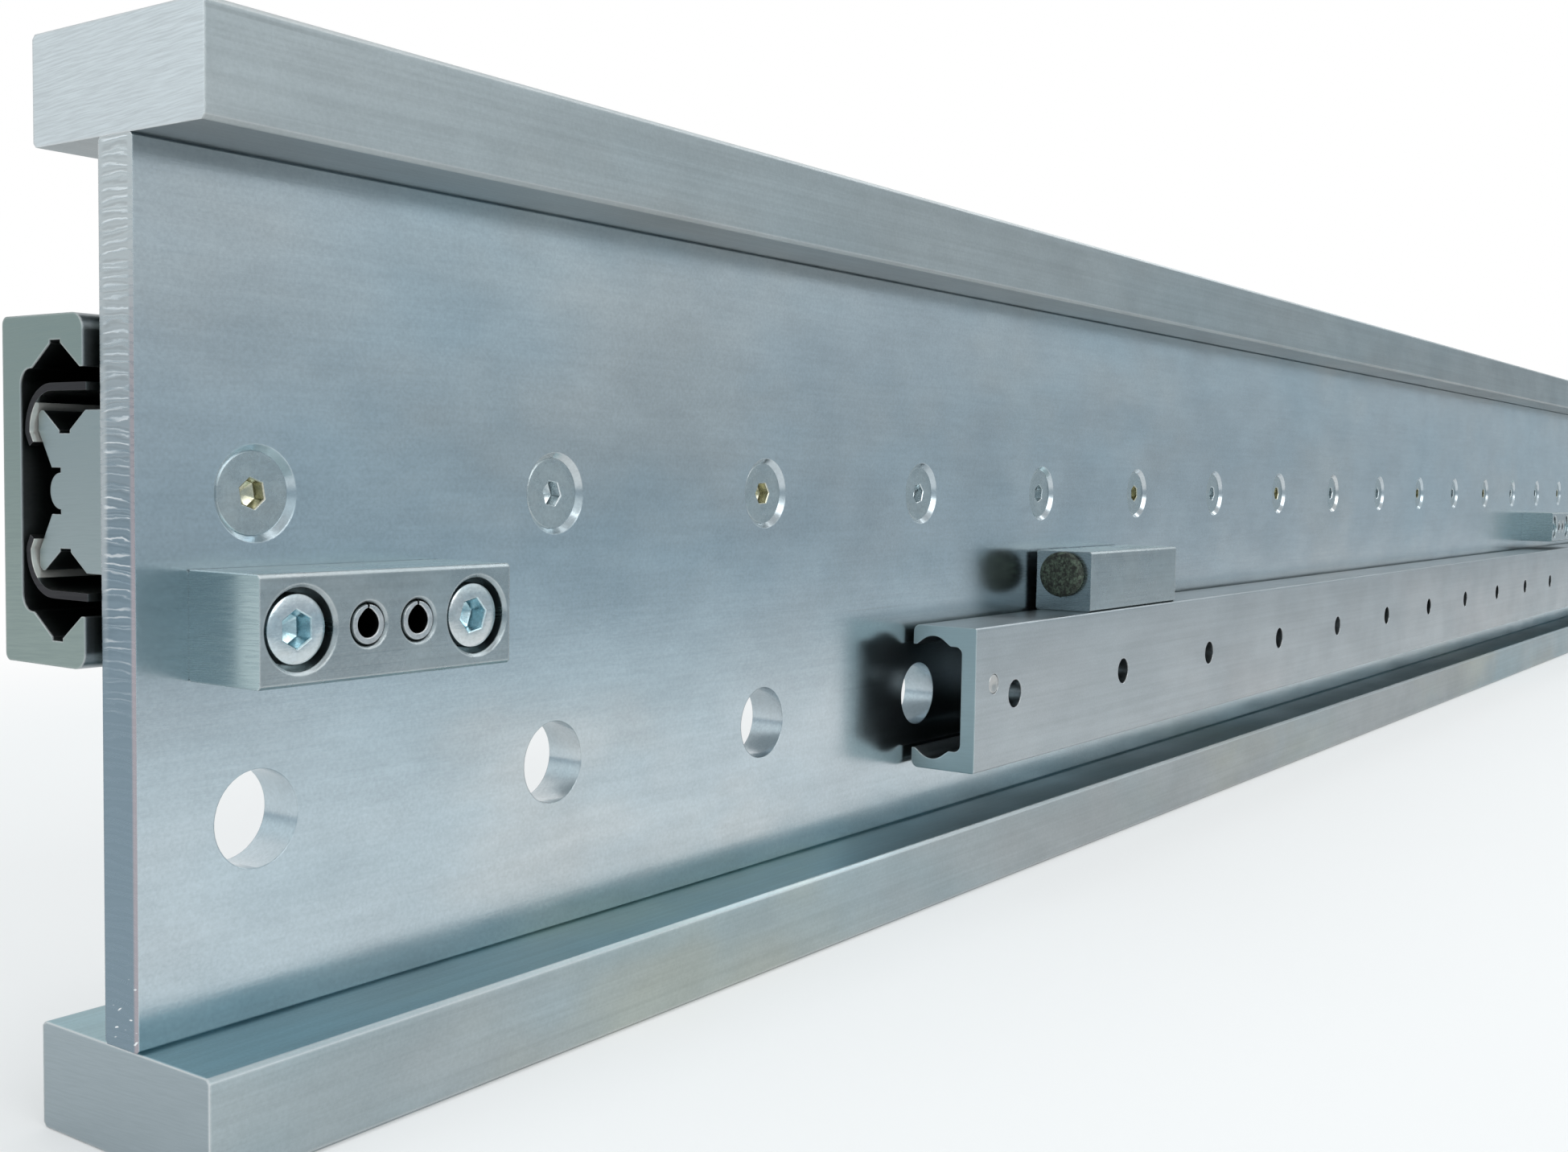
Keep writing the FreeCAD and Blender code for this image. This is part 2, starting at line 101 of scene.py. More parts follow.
class Pattern(Enum):
    """Kinds of noise: how many finer layers each has, and how strong they are."""

    PLAIN = (2.0, 0.5)
    SCRATCH = (1.0, 0.5)
    SPECKLE = (2.0, 0.6)
    FLOOR = (3.0, 0.5)
    STREAK = (3.0, 0.65)
    TEAR = (4.0, 0.55)
    CLOUD = (4.0, 0.6)
    MOTTLE = (5.0, 0.65)
    CRUMB = (5.0, 0.7)


class Wiring:
    """A node tree, with short calls that add nodes and join their sockets."""

    FIRST_COLOUR = 6
    SECOND_COLOUR = 7
    MIXED_COLOUR = 2

    def __init__(self, tree: bpy.types.NodeTree) -> None:
        """Keeps the tree of a material, a world or a group."""
        self.tree = tree

    def feed(self, socket: Socket, value: Wire) -> None:
        """Joins a socket to another one, or sets its own value.

        Args:
            socket: The input to feed.
            value: An output socket, a number, a vector or a colour.
        """
        if isinstance(value, Socket):
            self.tree.links.new(value, socket)
        elif socket.type == "RGBA":
            socket.default_value = (*value, 1.0)
        else:
            socket.default_value = value

    def _fill(self, made: bpy.types.Node, inputs: dict[str, Wire]) -> bpy.types.Node:
        """Feeds a node's inputs by name, with underscores for spaces.

        Args:
            made: The node.
            inputs: What each named input gets.

        Returns:
            The same node.
        """
        for name, value in inputs.items():
            self.feed(made.inputs[name.replace("_", " ")], value)
        return made

    def node(self, kind: str, **inputs: Wire) -> bpy.types.Node:
        """Adds a node of a type and feeds its inputs by name."""
        return self._fill(self.tree.nodes.new(kind), inputs)

    def group(self, tree: bpy.types.NodeTree, **inputs: Wire) -> Sockets:
        """Places an effect in this tree.

        Args:
            tree: The effect's node group.
            **inputs: What each named input gets.

        Returns:
            The effect's outputs.
        """
        made = self.tree.nodes.new("ShaderNodeGroup")
        made.node_tree = tree
        return self._fill(made, inputs).outputs

    def math(self, operation: str, a: Wire, b: Wire = 0.0, clamp: bool = False) -> Socket:
        """Adds a sum of two values.

        Args:
            operation: The operation's name.
            a: The first value.
            b: The second value.
            clamp: Whether the result stays between 0 and 1.

        Returns:
            The result.
        """
        made = self.tree.nodes.new("ShaderNodeMath")
        made.operation = operation
        made.use_clamp = clamp
        self.feed(made.inputs[0], a)
        self.feed(made.inputs[1], b)
        return made.outputs[0]

    def times(self, *values: Wire) -> Socket:
        """Gives the product of the values."""
        return reduce(partial(self.math, "MULTIPLY"), values)

    def plus(self, *values: Wire) -> Socket:
        """Gives the sum of the values."""
        return reduce(partial(self.math, "ADD"), values)

    def less(self, a: Wire, b: Wire) -> Socket:
        """Gives the first value less the second."""
        return self.math("SUBTRACT", a, b)

    def larger(self, *values: Wire) -> Socket:
        """Gives the largest of the values."""
        return reduce(partial(self.math, "MAXIMUM"), values)

    def mix(self, factor: Wire, a: Wire, b: Wire) -> Socket:
        """Mixes two colours.

        Args:
            factor: How much of the second colour shows.
            a: The first colour.
            b: The second colour.

        Returns:
            The mixed colour.
        """
        made = self.tree.nodes.new("ShaderNodeMix")
        made.data_type = "RGBA"
        self.feed(made.inputs[0], factor)
        self.feed(made.inputs[self.FIRST_COLOUR], a)
        self.feed(made.inputs[self.SECOND_COLOUR], b)
        return made.outputs[self.MIXED_COLOUR]

    def band(self, value: Wire, span: Span, gives: Span = (0.0, 1.0)) -> Socket:
        """Turns a span of values smoothly into another.

        Args:
            value: What is turned.
            span: The start and the end of the span.
            gives: The result at and before its start, and at and after its end.

        Returns:
            The result.
        """
        made = self.tree.nodes.new("ShaderNodeMapRange")
        made.interpolation_type = "SMOOTHSTEP"
        for socket, given in zip(made.inputs, (value, *span, *gives)):
            self.feed(socket, given)
        return made.outputs[0]

    def noise(self, vector: Wire, scale: Wire = 1.0, kind: Pattern = Pattern.PLAIN) -> Socket:
        """Adds a noise pattern.

        Args:
            vector: Where the pattern is read.
            scale: How fine it is.
            kind: Its layers.

        Returns:
            The pattern, from 0 to 1.
        """
        detail, rough = kind.value
        made = self.node("ShaderNodeTexNoise", Vector=vector, Scale=scale, Detail=detail, Roughness=rough)
        return made.outputs[0]

    def _vectors(self, operation: str, a: Wire, b: Wire) -> Sockets:
        """Adds a sum of two vectors.

        Args:
            operation: The operation's name.
            a: The first vector.
            b: The second vector.

        Returns:
            The results, as a vector and as a value.
        """
        made = self.tree.nodes.new("ShaderNodeVectorMath")
        made.operation = operation
        self.feed(made.inputs[0], a)
        self.feed(made.inputs[1], b)
        return made.outputs

    def scaled(self, a: Wire, b: Wire) -> Socket:
        """Gives the product of two vectors, part by part."""
        return self._vectors("MULTIPLY", a, b)["Vector"]

    def moved(self, a: Wire, b: Wire) -> Socket:
        """Gives the sum of two vectors."""
        return self._vectors("ADD", a, b)["Vector"]

    def dot(self, a: Wire, b: Wire) -> Socket:
        """Gives the dot product of two vectors."""
        return self._vectors("DOT_PRODUCT", a, b)["Value"]

    def split(self, vector: Wire) -> tuple[Socket, ...]:
        """Gives a vector's three parts."""
        return tuple(self.node("ShaderNodeSeparateXYZ", Vector=vector).outputs)

    def join(self, x: Wire, y: Wire, z: Wire) -> Socket:
        """Makes a vector from three parts."""
        return self.node("ShaderNodeCombineXYZ", X=x, Y=y, Z=z).outputs[0]

    def tone(self, colour: Wire, shade: Wire) -> Socket:
        """Darkens or brightens a colour."""
        return self.scaled(colour, self.join(shade, shade, shade))


class Effects:
    """The surface effects that several finishes share, each built once as a node group."""

    SIGNED: Span = (-0.5, 0.5)
    CLOUD_STRETCH: Place = (0.45, 1.0, 1.0)
    COOL_SPAN: Span = (0.42, 0.66)
    WARM_SHIFT: Place = (3.1, 1.7, 0.4)
    WARM_PACE = 1.7
    WARM_SPAN: Span = (0.50, 0.72)
    MOTTLE_PACE = 9.0
    MOTTLE_SPAN: Span = (0.25, 0.75)
    MOTTLE_SHADE: Span = (0.93, 1.07)
    SPECKLE_SPAN: Span = (0.25, 0.75)
    STREAK_SPAN: Span = (0.3, 0.7)
    SCRATCH_PACE: Place = (5.0, 420.0, 420.0)
    SCRATCH_SPAN: Span = (0.72, 0.80)
    SLANT_LEAN = 0.9
    SLANT_RISE = 0.6
    SLANT_PACE: Place = (900.0, 40.0, 14.0)
    SLANT_SPAN: Span = (0.78, 0.84)
    HANDLED_SCALE = 11.0
    HANDLED_SPAN: Span = (0.46, 0.62)
    EDGE_SPAN: Span = (0.998, 0.86)
    RAGGED_SCALE = 1900.0
    RAGGED_DEPTH = 0.016
    SPECK_SPAN: Span = (0.019, 0.026)
    # Painted shade in deep recesses: occlusion samples, and the span that darkens.
    RECESS_SHADE_SAMPLES = 6
    RECESS_SHADE_SPAN: Span = (0.78, 0.32)

    def __init__(self) -> None:
        """Builds every group."""
        self.bloom = self._bloom()
        self.grain = self._grain()
        self.lines = self._lines()
        self.marks = self._marks()
        self.wear_and_highlight = self._wear_and_highlight()
        self.specks = self._specks()
        self.recess_shade = self._recess_shade()

    @staticmethod
    def _open(name: str, inputs: dict[str, str], *outputs: str) -> tuple[Wiring, Sockets, Sockets]:
        """Starts a node group with named sockets.

        Args:
            name: The group's name.
            inputs: Each input's name and kind.
            *outputs: Each output's name. A colour and a normal have their own kinds.

        Returns:
            The group's wiring, what it is given, and where its results go.
        """
        tree = bpy.data.node_groups.new(name, "ShaderNodeTree")
        for label, kind in inputs.items():
            tree.interface.new_socket(label, in_out="INPUT", socket_type="NodeSocket" + kind)
        for label in outputs:
            kind = {"Color": "Color", "Normal": "Vector"}.get(label, "Float")
            tree.interface.new_socket(label, in_out="OUTPUT", socket_type="NodeSocket" + kind)
        given = tree.nodes.new("NodeGroupInput")
        return Wiring(tree), given.outputs, tree.nodes.new("NodeGroupOutput").inputs

    def _shade(self, w: Wiring, pattern: Wire, span: Span, depth: Wire) -> Socket:
        """Gives a shade round 1 from a pattern."""
        return w.plus(w.times(w.band(pattern, span, self.SIGNED), depth), 1.0)

    def _bloom(self) -> bpy.types.NodeTree:
        """Builds the cloudy tints of zinc plating.

        Returns:
            The group.
        """
        inputs = {"Vector": "Vector", "Base": "Color", "Cool": "Color", "Warm": "Color"}
        inputs |= {"Patches": "Float", "Amount": "Float"}
        w, given, out = self._open("zinc_bloom", inputs, "Color")
        patches, amount = given["Patches"], given["Amount"]
        place = w.scaled(given["Vector"], self.CLOUD_STRETCH)
        cool = w.band(w.noise(place, patches, Pattern.CLOUD), self.COOL_SPAN)
        colour = w.mix(w.times(cool, amount), given["Base"], given["Cool"])
        apart = w.moved(place, self.WARM_SHIFT)
        warm = w.band(w.noise(apart, w.times(patches, self.WARM_PACE), Pattern.CLOUD), self.WARM_SPAN)
        colour = w.mix(w.times(warm, amount), colour, given["Warm"])
        mottle = w.noise(place, w.times(patches, self.MOTTLE_PACE), Pattern.MOTTLE)
        w.feed(out["Color"], w.tone(colour, w.band(mottle, self.MOTTLE_SPAN, self.MOTTLE_SHADE)))
        return w.tree

    def _grain(self) -> bpy.types.NodeTree:
        """Builds the fine speckle of a plated surface.

        Returns:
            The group.
        """
        inputs = {"Vector": "Vector", "Scale": "Float", "Depth": "Float"}
        w, given, out = self._open("fine_grain", inputs, "Shade", "Height")
        speckle = w.noise(given["Vector"], given["Scale"], Pattern.SPECKLE)
        w.feed(out["Shade"], self._shade(w, speckle, self.SPECKLE_SPAN, given["Depth"]))
        w.feed(out["Height"], speckle)
        return w.tree

    def _lines(self) -> bpy.types.NodeTree:
        """Builds the fine lines left by drawing, sawing or brushing, which run along X.

        Returns:
            The group.
        """
        inputs = {"Vector": "Vector", "Along": "Float", "Across": "Float", "Depth": "Float"}
        w, given, out = self._open("drawn_lines", inputs, "Shade", "Height")
        pace = w.join(given["Along"], given["Across"], given["Across"])
        streak = w.noise(w.scaled(given["Vector"], pace), kind=Pattern.STREAK)
        w.feed(out["Shade"], self._shade(w, streak, self.STREAK_SPAN, given["Depth"]))
        w.feed(out["Height"], streak)
        return w.tree

    def _marks(self) -> bpy.types.NodeTree:
        """Builds sparse scratches and scuffed streaks from handling.

        Returns:
            The group.
        """
        w, given, out = self._open("handling_marks", {"Vector": "Vector", "Amount": "Float"}, "Mask")
        x, y, z = w.split(given["Vector"])
        along = w.noise(w.scaled(given["Vector"], self.SCRATCH_PACE), kind=Pattern.SCRATCH)
        lean = w.plus(z, w.times(x, self.SLANT_LEAN))
        rise = w.less(x, w.times(z, self.SLANT_RISE))
        slant = w.noise(w.scaled(w.join(lean, y, rise), self.SLANT_PACE), kind=Pattern.SCRATCH)
        scratches = w.larger(w.band(along, self.SCRATCH_SPAN), w.band(slant, self.SLANT_SPAN))
        handled = w.band(w.noise(given["Vector"], self.HANDLED_SCALE), self.HANDLED_SPAN)
        w.feed(out["Mask"], w.math("MULTIPLY", w.times(scratches, handled), given["Amount"], clamp=True))
        return w.tree

    def _wear_and_highlight(self) -> bpy.types.NodeTree:
        """Builds the pale line along an edge, partly worn steel and partly a painted highlight, and the
        rounded edge's own normal.

        Returns:
            The group.
        """
        w, given, out = self._open("edge_wear_and_highlight", {"Radius": "Float"}, "Mask", "Normal")
        round_edge = w.node("ShaderNodeBevel", Radius=given["Radius"]).outputs[0]
        flat = w.node("ShaderNodeNewGeometry").outputs["True Normal"]
        w.feed(out["Mask"], w.band(w.dot(round_edge, flat), self.EDGE_SPAN))
        w.feed(out["Normal"], round_edge)
        return w.tree

    def _specks(self) -> bpy.types.NodeTree:
        """Builds sparse dark specks of dirt.

        Returns:
            The group.
        """
        inputs = {"Vector": "Vector", "Scale": "Float", "Share": "Float"}
        w, given, out = self._open("dirt_specks", inputs, "Mask")
        cells = w.node("ShaderNodeTexVoronoi", Vector=given["Vector"], Scale=given["Scale"]).outputs
        chosen = w.math("LESS_THAN", w.split(cells["Color"])[0], given["Share"])
        ragged = w.times(w.noise(given["Vector"], self.RAGGED_SCALE), self.RAGGED_DEPTH)
        dot = w.band(w.plus(cells["Distance"], ragged), self.SPECK_SPAN, (1.0, 0.0))
        w.feed(out["Mask"], w.times(dot, chosen))
        return w.tree

    def _recess_shade(self) -> bpy.types.NodeTree:
        """Builds the oil film that darkens deep recesses.

        Returns:
            The group.
        """
        w, given, out = self._open("recess_painted_shade", {"Depth": "Float", "Amount": "Float"}, "Mask")
        recess = w.node("ShaderNodeAmbientOcclusion", Distance=given["Depth"])
        recess.samples = self.RECESS_SHADE_SAMPLES
        w.feed(out["Mask"], w.times(w.band(recess.outputs["AO"], self.RECESS_SHADE_SPAN), given["Amount"]))
        return w.tree


class Canvas(Wiring):
    """A new material's node tree, with its shader, its coordinates and the shared effects."""

    def __init__(self, name: str, effects: Effects | None = None) -> None:
        """Starts the material.

        Args:
            name: The material's name.
            effects: The shared surface effects, if it uses any.
        """
        self.material = bpy.data.materials.new(name)
        self.material.use_nodes = True
        super().__init__(self.material.node_tree)
        self.shader = self.tree.nodes["Principled BSDF"]
        self.effects = effects
        coords = self.node("ShaderNodeTexCoord").outputs
        self.place = coords["Object"]
        self.x, self.y, self.z = self.split(self.place)
        self.facing = self.split(coords["Normal"])

    def shaded(self, **inputs: Wire) -> bpy.types.Material:
        """Feeds the shader's inputs by name and gives the material."""
        self._fill(self.shader, inputs)
        return self.material


@dataclass(frozen=True)
class CutEnd(ABC):
    """The two cut ends of a bar, from a distance along X."""

    colour: Colour
    roughness: float
    start: float = 0.0
    facing: Span = (0.97, 0.995)

    @abstractmethod
    def marks(self, w: Canvas) -> Surface:
        """Gives the colour, the roughness and the height that the cut left on the ends."""

    def lay(self, w: Canvas, faces: Surface) -> tuple[Socket, ...]:
        """Lays the marks of the cut over the bar's two ends.

        Args:
            w: The material.
            faces: The colour, roughness and height of the long faces.

        Returns:
            The colour, roughness and height with the ends in place, and a mask of the long faces.
        """
        facing = w.band(w.math("ABSOLUTE", w.facing[0]), self.facing)
        end = w.times(facing, w.math("GREATER_THAN", w.math("ABSOLUTE", w.x), self.start))
        keep = w.less(1.0, end)
        colour, rough, height = faces
        cut_colour, cut_rough, cut_height = self.marks(w)
        return (
            w.mix(end, colour, cut_colour),
            w.plus(w.times(rough, keep), w.times(cut_rough, end)),
            w.plus(w.times(height, keep), w.times(cut_height, end)),
            keep,
        )


@dataclass(frozen=True)
class BrushedEnd(CutEnd):
    """The fine level strokes of a sawn and brushed end."""

    depth: float = 0.04
    wobble_scale: float = 130.0
    wobble: float = 0.0006
    tilt: float = 0.06
    along: float = 110.0
    across: float = 2600.0
    streak_span: Span = (0.35, 0.65)
    rough_swing: float = 0.06
    relief: float = 6.0

    def marks(self, w: Canvas) -> Surface:
        """Makes the strokes.

        Args:
            w: The material.

        Returns:
            The ends' colour, roughness and height.
        """
        wobble = w.times(w.noise(w.join(w.y, w.z, w.x), self.wobble_scale), self.wobble)
        level = w.plus(w.z, w.times(w.y, self.tilt), wobble)
        strokes = w.group(w.effects.lines, Vector=w.join(w.y, level, w.x), Along=self.along,
                          Across=self.across, Depth=self.depth)
        streak = strokes["Height"]
        swing = (self.roughness + self.rough_swing, self.roughness - self.rough_swing)
        rough = w.band(streak, self.streak_span, swing)
        return w.tone(self.colour, strokes["Shade"]), rough, w.times(streak, self.depth * self.relief)


@dataclass(frozen=True)
class TornEnd(CutEnd):
    """A flame-cut end: fine ridges above with painted glints on them, a smooth foot, a pale back rim and a
    rosy front edge.
    """

    foot: Colour = (0.215, 0.29, 0.345)
    rosy: Colour = (0.50, 0.42, 0.44)
    # Near-white colour of the painted glints on the ridges and the nicks.
    bright: Colour = (0.93, 0.95, 0.96)
    foot_top: Span = (0.103, 0.165)
    drawn_out: float = 0.22
    wobble_scale: float = 240.0
    wobble: float = 0.0050
    arch: float = 12.0
    ridge_paces: Point = (3300.0, 7900.0)
    ridge_shares: Point = (0.55, 0.45)
    ridge_front: Span = (-0.0040, -0.0031)
    ridge_back: Span = (0.0046, 0.0030)
    ridge_foot: Span = (0.070, 0.130)
    ridge_shade: float = 0.16
    ridge_rough_span: Span = (-0.5, 0.9)
    ridge_rough: Span = (0.06, -0.08)
    ridge_height: float = 1.4
    glint_span: Span = (0.25, 0.80)
    patch_pace: Place = (70.0, 420.0, 0.0)
    patch_span: Span = (0.38, 0.62)
    nick_pace: Point = (300.0, 900.0)
    nick_slope: float = 260.0
    nick_span: Span = (0.68, 0.73)
    nick_top: Span = (0.036, 0.030)
    rim_edge: Span = (0.0026, 0.0040)
    rim_foot: Span = (0.080, 0.120)
    rim_share: float = 0.75
    rosy_edge: Span = (-0.0034, -0.0041)
    rosy_top: Span = (0.165, 0.135)
    rosy_share: float = 0.7

    def marks(self, w: Canvas) -> Surface:
        """Makes the ridges, the nicks, the tints, and the painted glints on the ridges and the nicks.

        Args:
            w: The material.

        Returns:
            The ends' colour, roughness and height.
        """
        ridge = self._ridge(w)
        inside = w.times(w.band(w.y, self.ridge_front), w.band(w.y, self.ridge_back))
        ridged = w.times(inside, w.band(w.z, self.ridge_foot))
        # Painted highlight: near-white glints on the upper ridges, in patches, and on the nicks.
        patchy = w.noise(w.scaled(w.join(w.y, w.z, 0.0), self.patch_pace))
        glint = w.times(w.band(ridge, self.glint_span), w.band(patchy, self.patch_span))
        bright = w.larger(w.times(glint, ridged), self._nicks(w))
        shade = w.plus(w.times(ridge, ridged, self.ridge_shade), 1.0)
        colour = w.mix(bright, w.tone(self._tint(w), shade), self.bright)
        swing = (self.roughness + self.ridge_rough[0], self.roughness + self.ridge_rough[1])
        rough = w.band(ridge, self.ridge_rough_span, swing)
        return colour, rough, w.times(ridge, self.ridge_height, ridged)

    def _ridge(self, w: Canvas) -> Socket:
        """Makes arched ridges, coarse and fine, at uneven distances.

        Args:
            w: The material.

        Returns:
            The ridges, from -1 to 1.
        """
        drawn = w.join(w.times(w.y, self.drawn_out), w.z, w.x)
        wobble = w.times(w.noise(drawn, self.wobble_scale, Pattern.TEAR), self.wobble)
        level = w.plus(w.z, w.times(w.y, w.y, self.arch), wobble)
        waves = [w.math("SINE", w.times(level, pace)) for pace in self.ridge_paces]
        return w.plus(*(w.times(wave, share) for wave, share in zip(waves, self.ridge_shares)))

    def _nicks(self, w: Canvas) -> Socket:
        """Makes the slanted nicks near the foot, which are painted as near-white glints.

        Args:
            w: The material.

        Returns:
            A mask of the nicks.
        """
        slope = w.plus(w.times(w.z, self.nick_pace[1]), w.times(w.y, self.nick_slope))
        nicks = w.noise(w.join(w.times(w.y, self.nick_pace[0]), slope, 0.0), kind=Pattern.SCRATCH)
        return w.times(w.band(nicks, self.nick_span), w.band(w.z, self.nick_top))

    def _tint(self, w: Canvas) -> Socket:
        """Makes the tints under the ridges.

        Args:
            w: The material.

        Returns:
            The colour.
        """
        tint = w.mix(w.band(w.z, self.foot_top), self.foot, self.colour)
        rim = w.times(w.band(w.y, self.rim_edge), w.band(w.z, self.rim_foot), self.rim_share)
        tint = w.mix(rim, tint, self.colour)
        rosy = w.times(w.band(w.y, self.rosy_edge), w.band(w.z, self.rosy_top), self.rosy_share)
        return w.mix(rosy, tint, self.rosy)


@dataclass(frozen=True)
class AgeingAndPaintedLight:
    """The traces of use, with the painted shade of deep recesses and the pale edge line that is partly a
    painted highlight, the same on every steel finish.
    """

    scratch_depth: float = 0.55
    scratch_tone: float = 0.45
    # Pale colour of the edge line: partly worn steel, partly a painted highlight.
    worn: Colour = (0.86, 0.88, 0.88)
    # Near-black colour painted into deep recesses as shade, and how far that reaches.
    recess_shade_colour: Colour = (0.035, 0.050, 0.045)
    recess_shade_reach: float = 0.022
    speck: Colour = (0.02, 0.02, 0.025)
    speck_scale: float = 26.0
    speck_roughness: float = 0.8


@dataclass(frozen=True)
class SteelFinish:
    """A plated or bright steel surface. Scales count features in a metre."""

    name: str
    base: Colour
    cool: Colour = (0.55, 0.70, 0.79)
    warm: Colour = (0.74, 0.72, 0.73)
    patches: float = 7.0
    bloom: float = 0.5
    metallic: float = 1.0
    grazing: float = 1.0
    roughness: float = 0.32
    rough_spread: float = 0.10
    rough_pace: float = 3.0
    rough_span: Span = (0.3, 0.7)
    grain_scale: float = 1500.0
    grain_depth: float = 0.10
    grain_height: float = 0.6
    lines_along: float = 6.0
    lines_across: float = 700.0
    lines_depth: float = 0.06
    marks: float = 0.25
    # How strongly edges take the pale line, partly worn steel and partly a painted highlight.
    wear_and_highlight: float = 0.5
    edge_radius: float = 0.00035
    relief: float = 0.00002
    specks: float = 0.0
    # How strongly deep recesses are darkened as painted shade.
    recess_shade: float = 0.0
    # A colour factor for up-facing faces and the facing where it starts: painted light that makes tops
    # brighter or cooler.
    painted_top_light: Colour | None = None
    painted_top_facing: Span = (0.80, 0.95)
    end: CutEnd | None = None
    ageing_and_painted_light: AgeingAndPaintedLight = AgeingAndPaintedLight()

    def material(self, effects: Effects) -> bpy.types.Material:
        """Builds the finish.

        Args:
            effects: The shared surface effects.

        Returns:
            The material.
        """
        w = Canvas(self.name, effects)
        place = w.place
        bloom = w.group(effects.bloom, Vector=place, Base=self.base, Cool=self.cool, Warm=self.warm,
                        Patches=self.patches, Amount=self.bloom)
        grain = w.group(effects.grain, Vector=place, Scale=self.grain_scale, Depth=self.grain_depth)
        lines = w.group(effects.lines, Vector=place, Along=self.lines_along, Across=self.lines_across,
                        Depth=self.lines_depth)
        marks = w.group(effects.marks, Vector=place, Amount=self.marks)
        wear_and_highlight = w.group(effects.wear_and_highlight, Radius=self.edge_radius)
        colour = w.tone(bloom["Color"], w.times(grain["Shade"], lines["Shade"]))
        cloud = w.noise(place, self.patches * self.rough_pace, Pattern.CLOUD)
        half = self.rough_spread / 2
        rough = w.band(cloud, self.rough_span, (self.roughness - half, self.roughness + half))
        height = w.plus(w.times(grain["Height"], self.grain_height), lines["Height"])
        scratched = w.times(marks["Mask"], self.ageing_and_painted_light.scratch_depth)
        if self.end:
            colour, rough, height, long_face = self.end.lay(w, (colour, rough, height))
            scratched = w.times(scratched, long_face)
        # Painted light: up-facing faces get their own colour factor.
        if self.painted_top_light:
            painted_top_mask = w.band(w.facing[2], self.painted_top_facing)
            colour = w.scaled(colour, w.mix(painted_top_mask, WHITE, self.painted_top_light))
        # Painted shade: deep recesses darken towards a near-black colour.
        if self.recess_shade:
            recess_shade = w.group(effects.recess_shade, Depth=self.ageing_and_painted_light.recess_shade_reach, Amount=self.recess_shade)
            colour = w.mix(recess_shade["Mask"], colour, self.ageing_and_painted_light.recess_shade_colour)
        colour = w.mix(scratched, colour, tuple(part * self.ageing_and_painted_light.scratch_tone for part in self.base))
        # Pale line on rounded edges: partly worn steel, partly a painted highlight.
        colour = w.mix(w.times(wear_and_highlight["Mask"], self.wear_and_highlight), colour, self.ageing_and_painted_light.worn)
        if self.specks:
            specks = w.group(effects.specks, Vector=place, Scale=self.ageing_and_painted_light.speck_scale, Share=self.specks)
            colour = w.mix(specks["Mask"], colour, self.ageing_and_painted_light.speck)
            rough = w.larger(rough, w.times(specks["Mask"], self.ageing_and_painted_light.speck_roughness))
        bump = w.node("ShaderNodeBump", Height=height, Normal=wear_and_highlight["Normal"], Distance=self.relief)
        grazing = (self.grazing, self.grazing, self.grazing)
        return w.shaded(Base_Color=colour, Roughness=rough, Normal=bump.outputs[0], Metallic=self.metallic,
                        Specular_Tint=grazing)


@dataclass(frozen=True)
class RubberFinish:
    """Dark moulded rubber with a coarse, worn face."""

    name: str
    dark: Colour
    worn: Colour
    grain_scale: float = 1500.0
    grain_depth: float = 0.6
    crumb_scale: float = 800.0
    worn_span: Span = (0.40, 0.68)
    rough_span: Span = (0.3, 0.7)
    roughness: Span = (0.92, 0.70)
    relief: float = 0.00018

    def material(self, effects: Effects) -> bpy.types.Material:
        """Builds the finish.

        Args:
            effects: The shared surface effects.

        Returns:
            The material.
        """
        w = Canvas(self.name, effects)
        grain = w.group(effects.grain, Vector=w.place, Scale=self.grain_scale, Depth=self.grain_depth)
        crumb = w.noise(w.place, self.crumb_scale, Pattern.CRUMB)
        colour = w.mix(w.band(crumb, self.worn_span), self.dark, self.worn)
        bump = w.node("ShaderNodeBump", Height=w.plus(crumb, grain["Height"]), Distance=self.relief)
        rough = w.band(crumb, self.rough_span, self.roughness)
        return w.shaded(Base_Color=w.tone(colour, grain["Shade"]), Roughness=rough, Normal=bump.outputs[0])


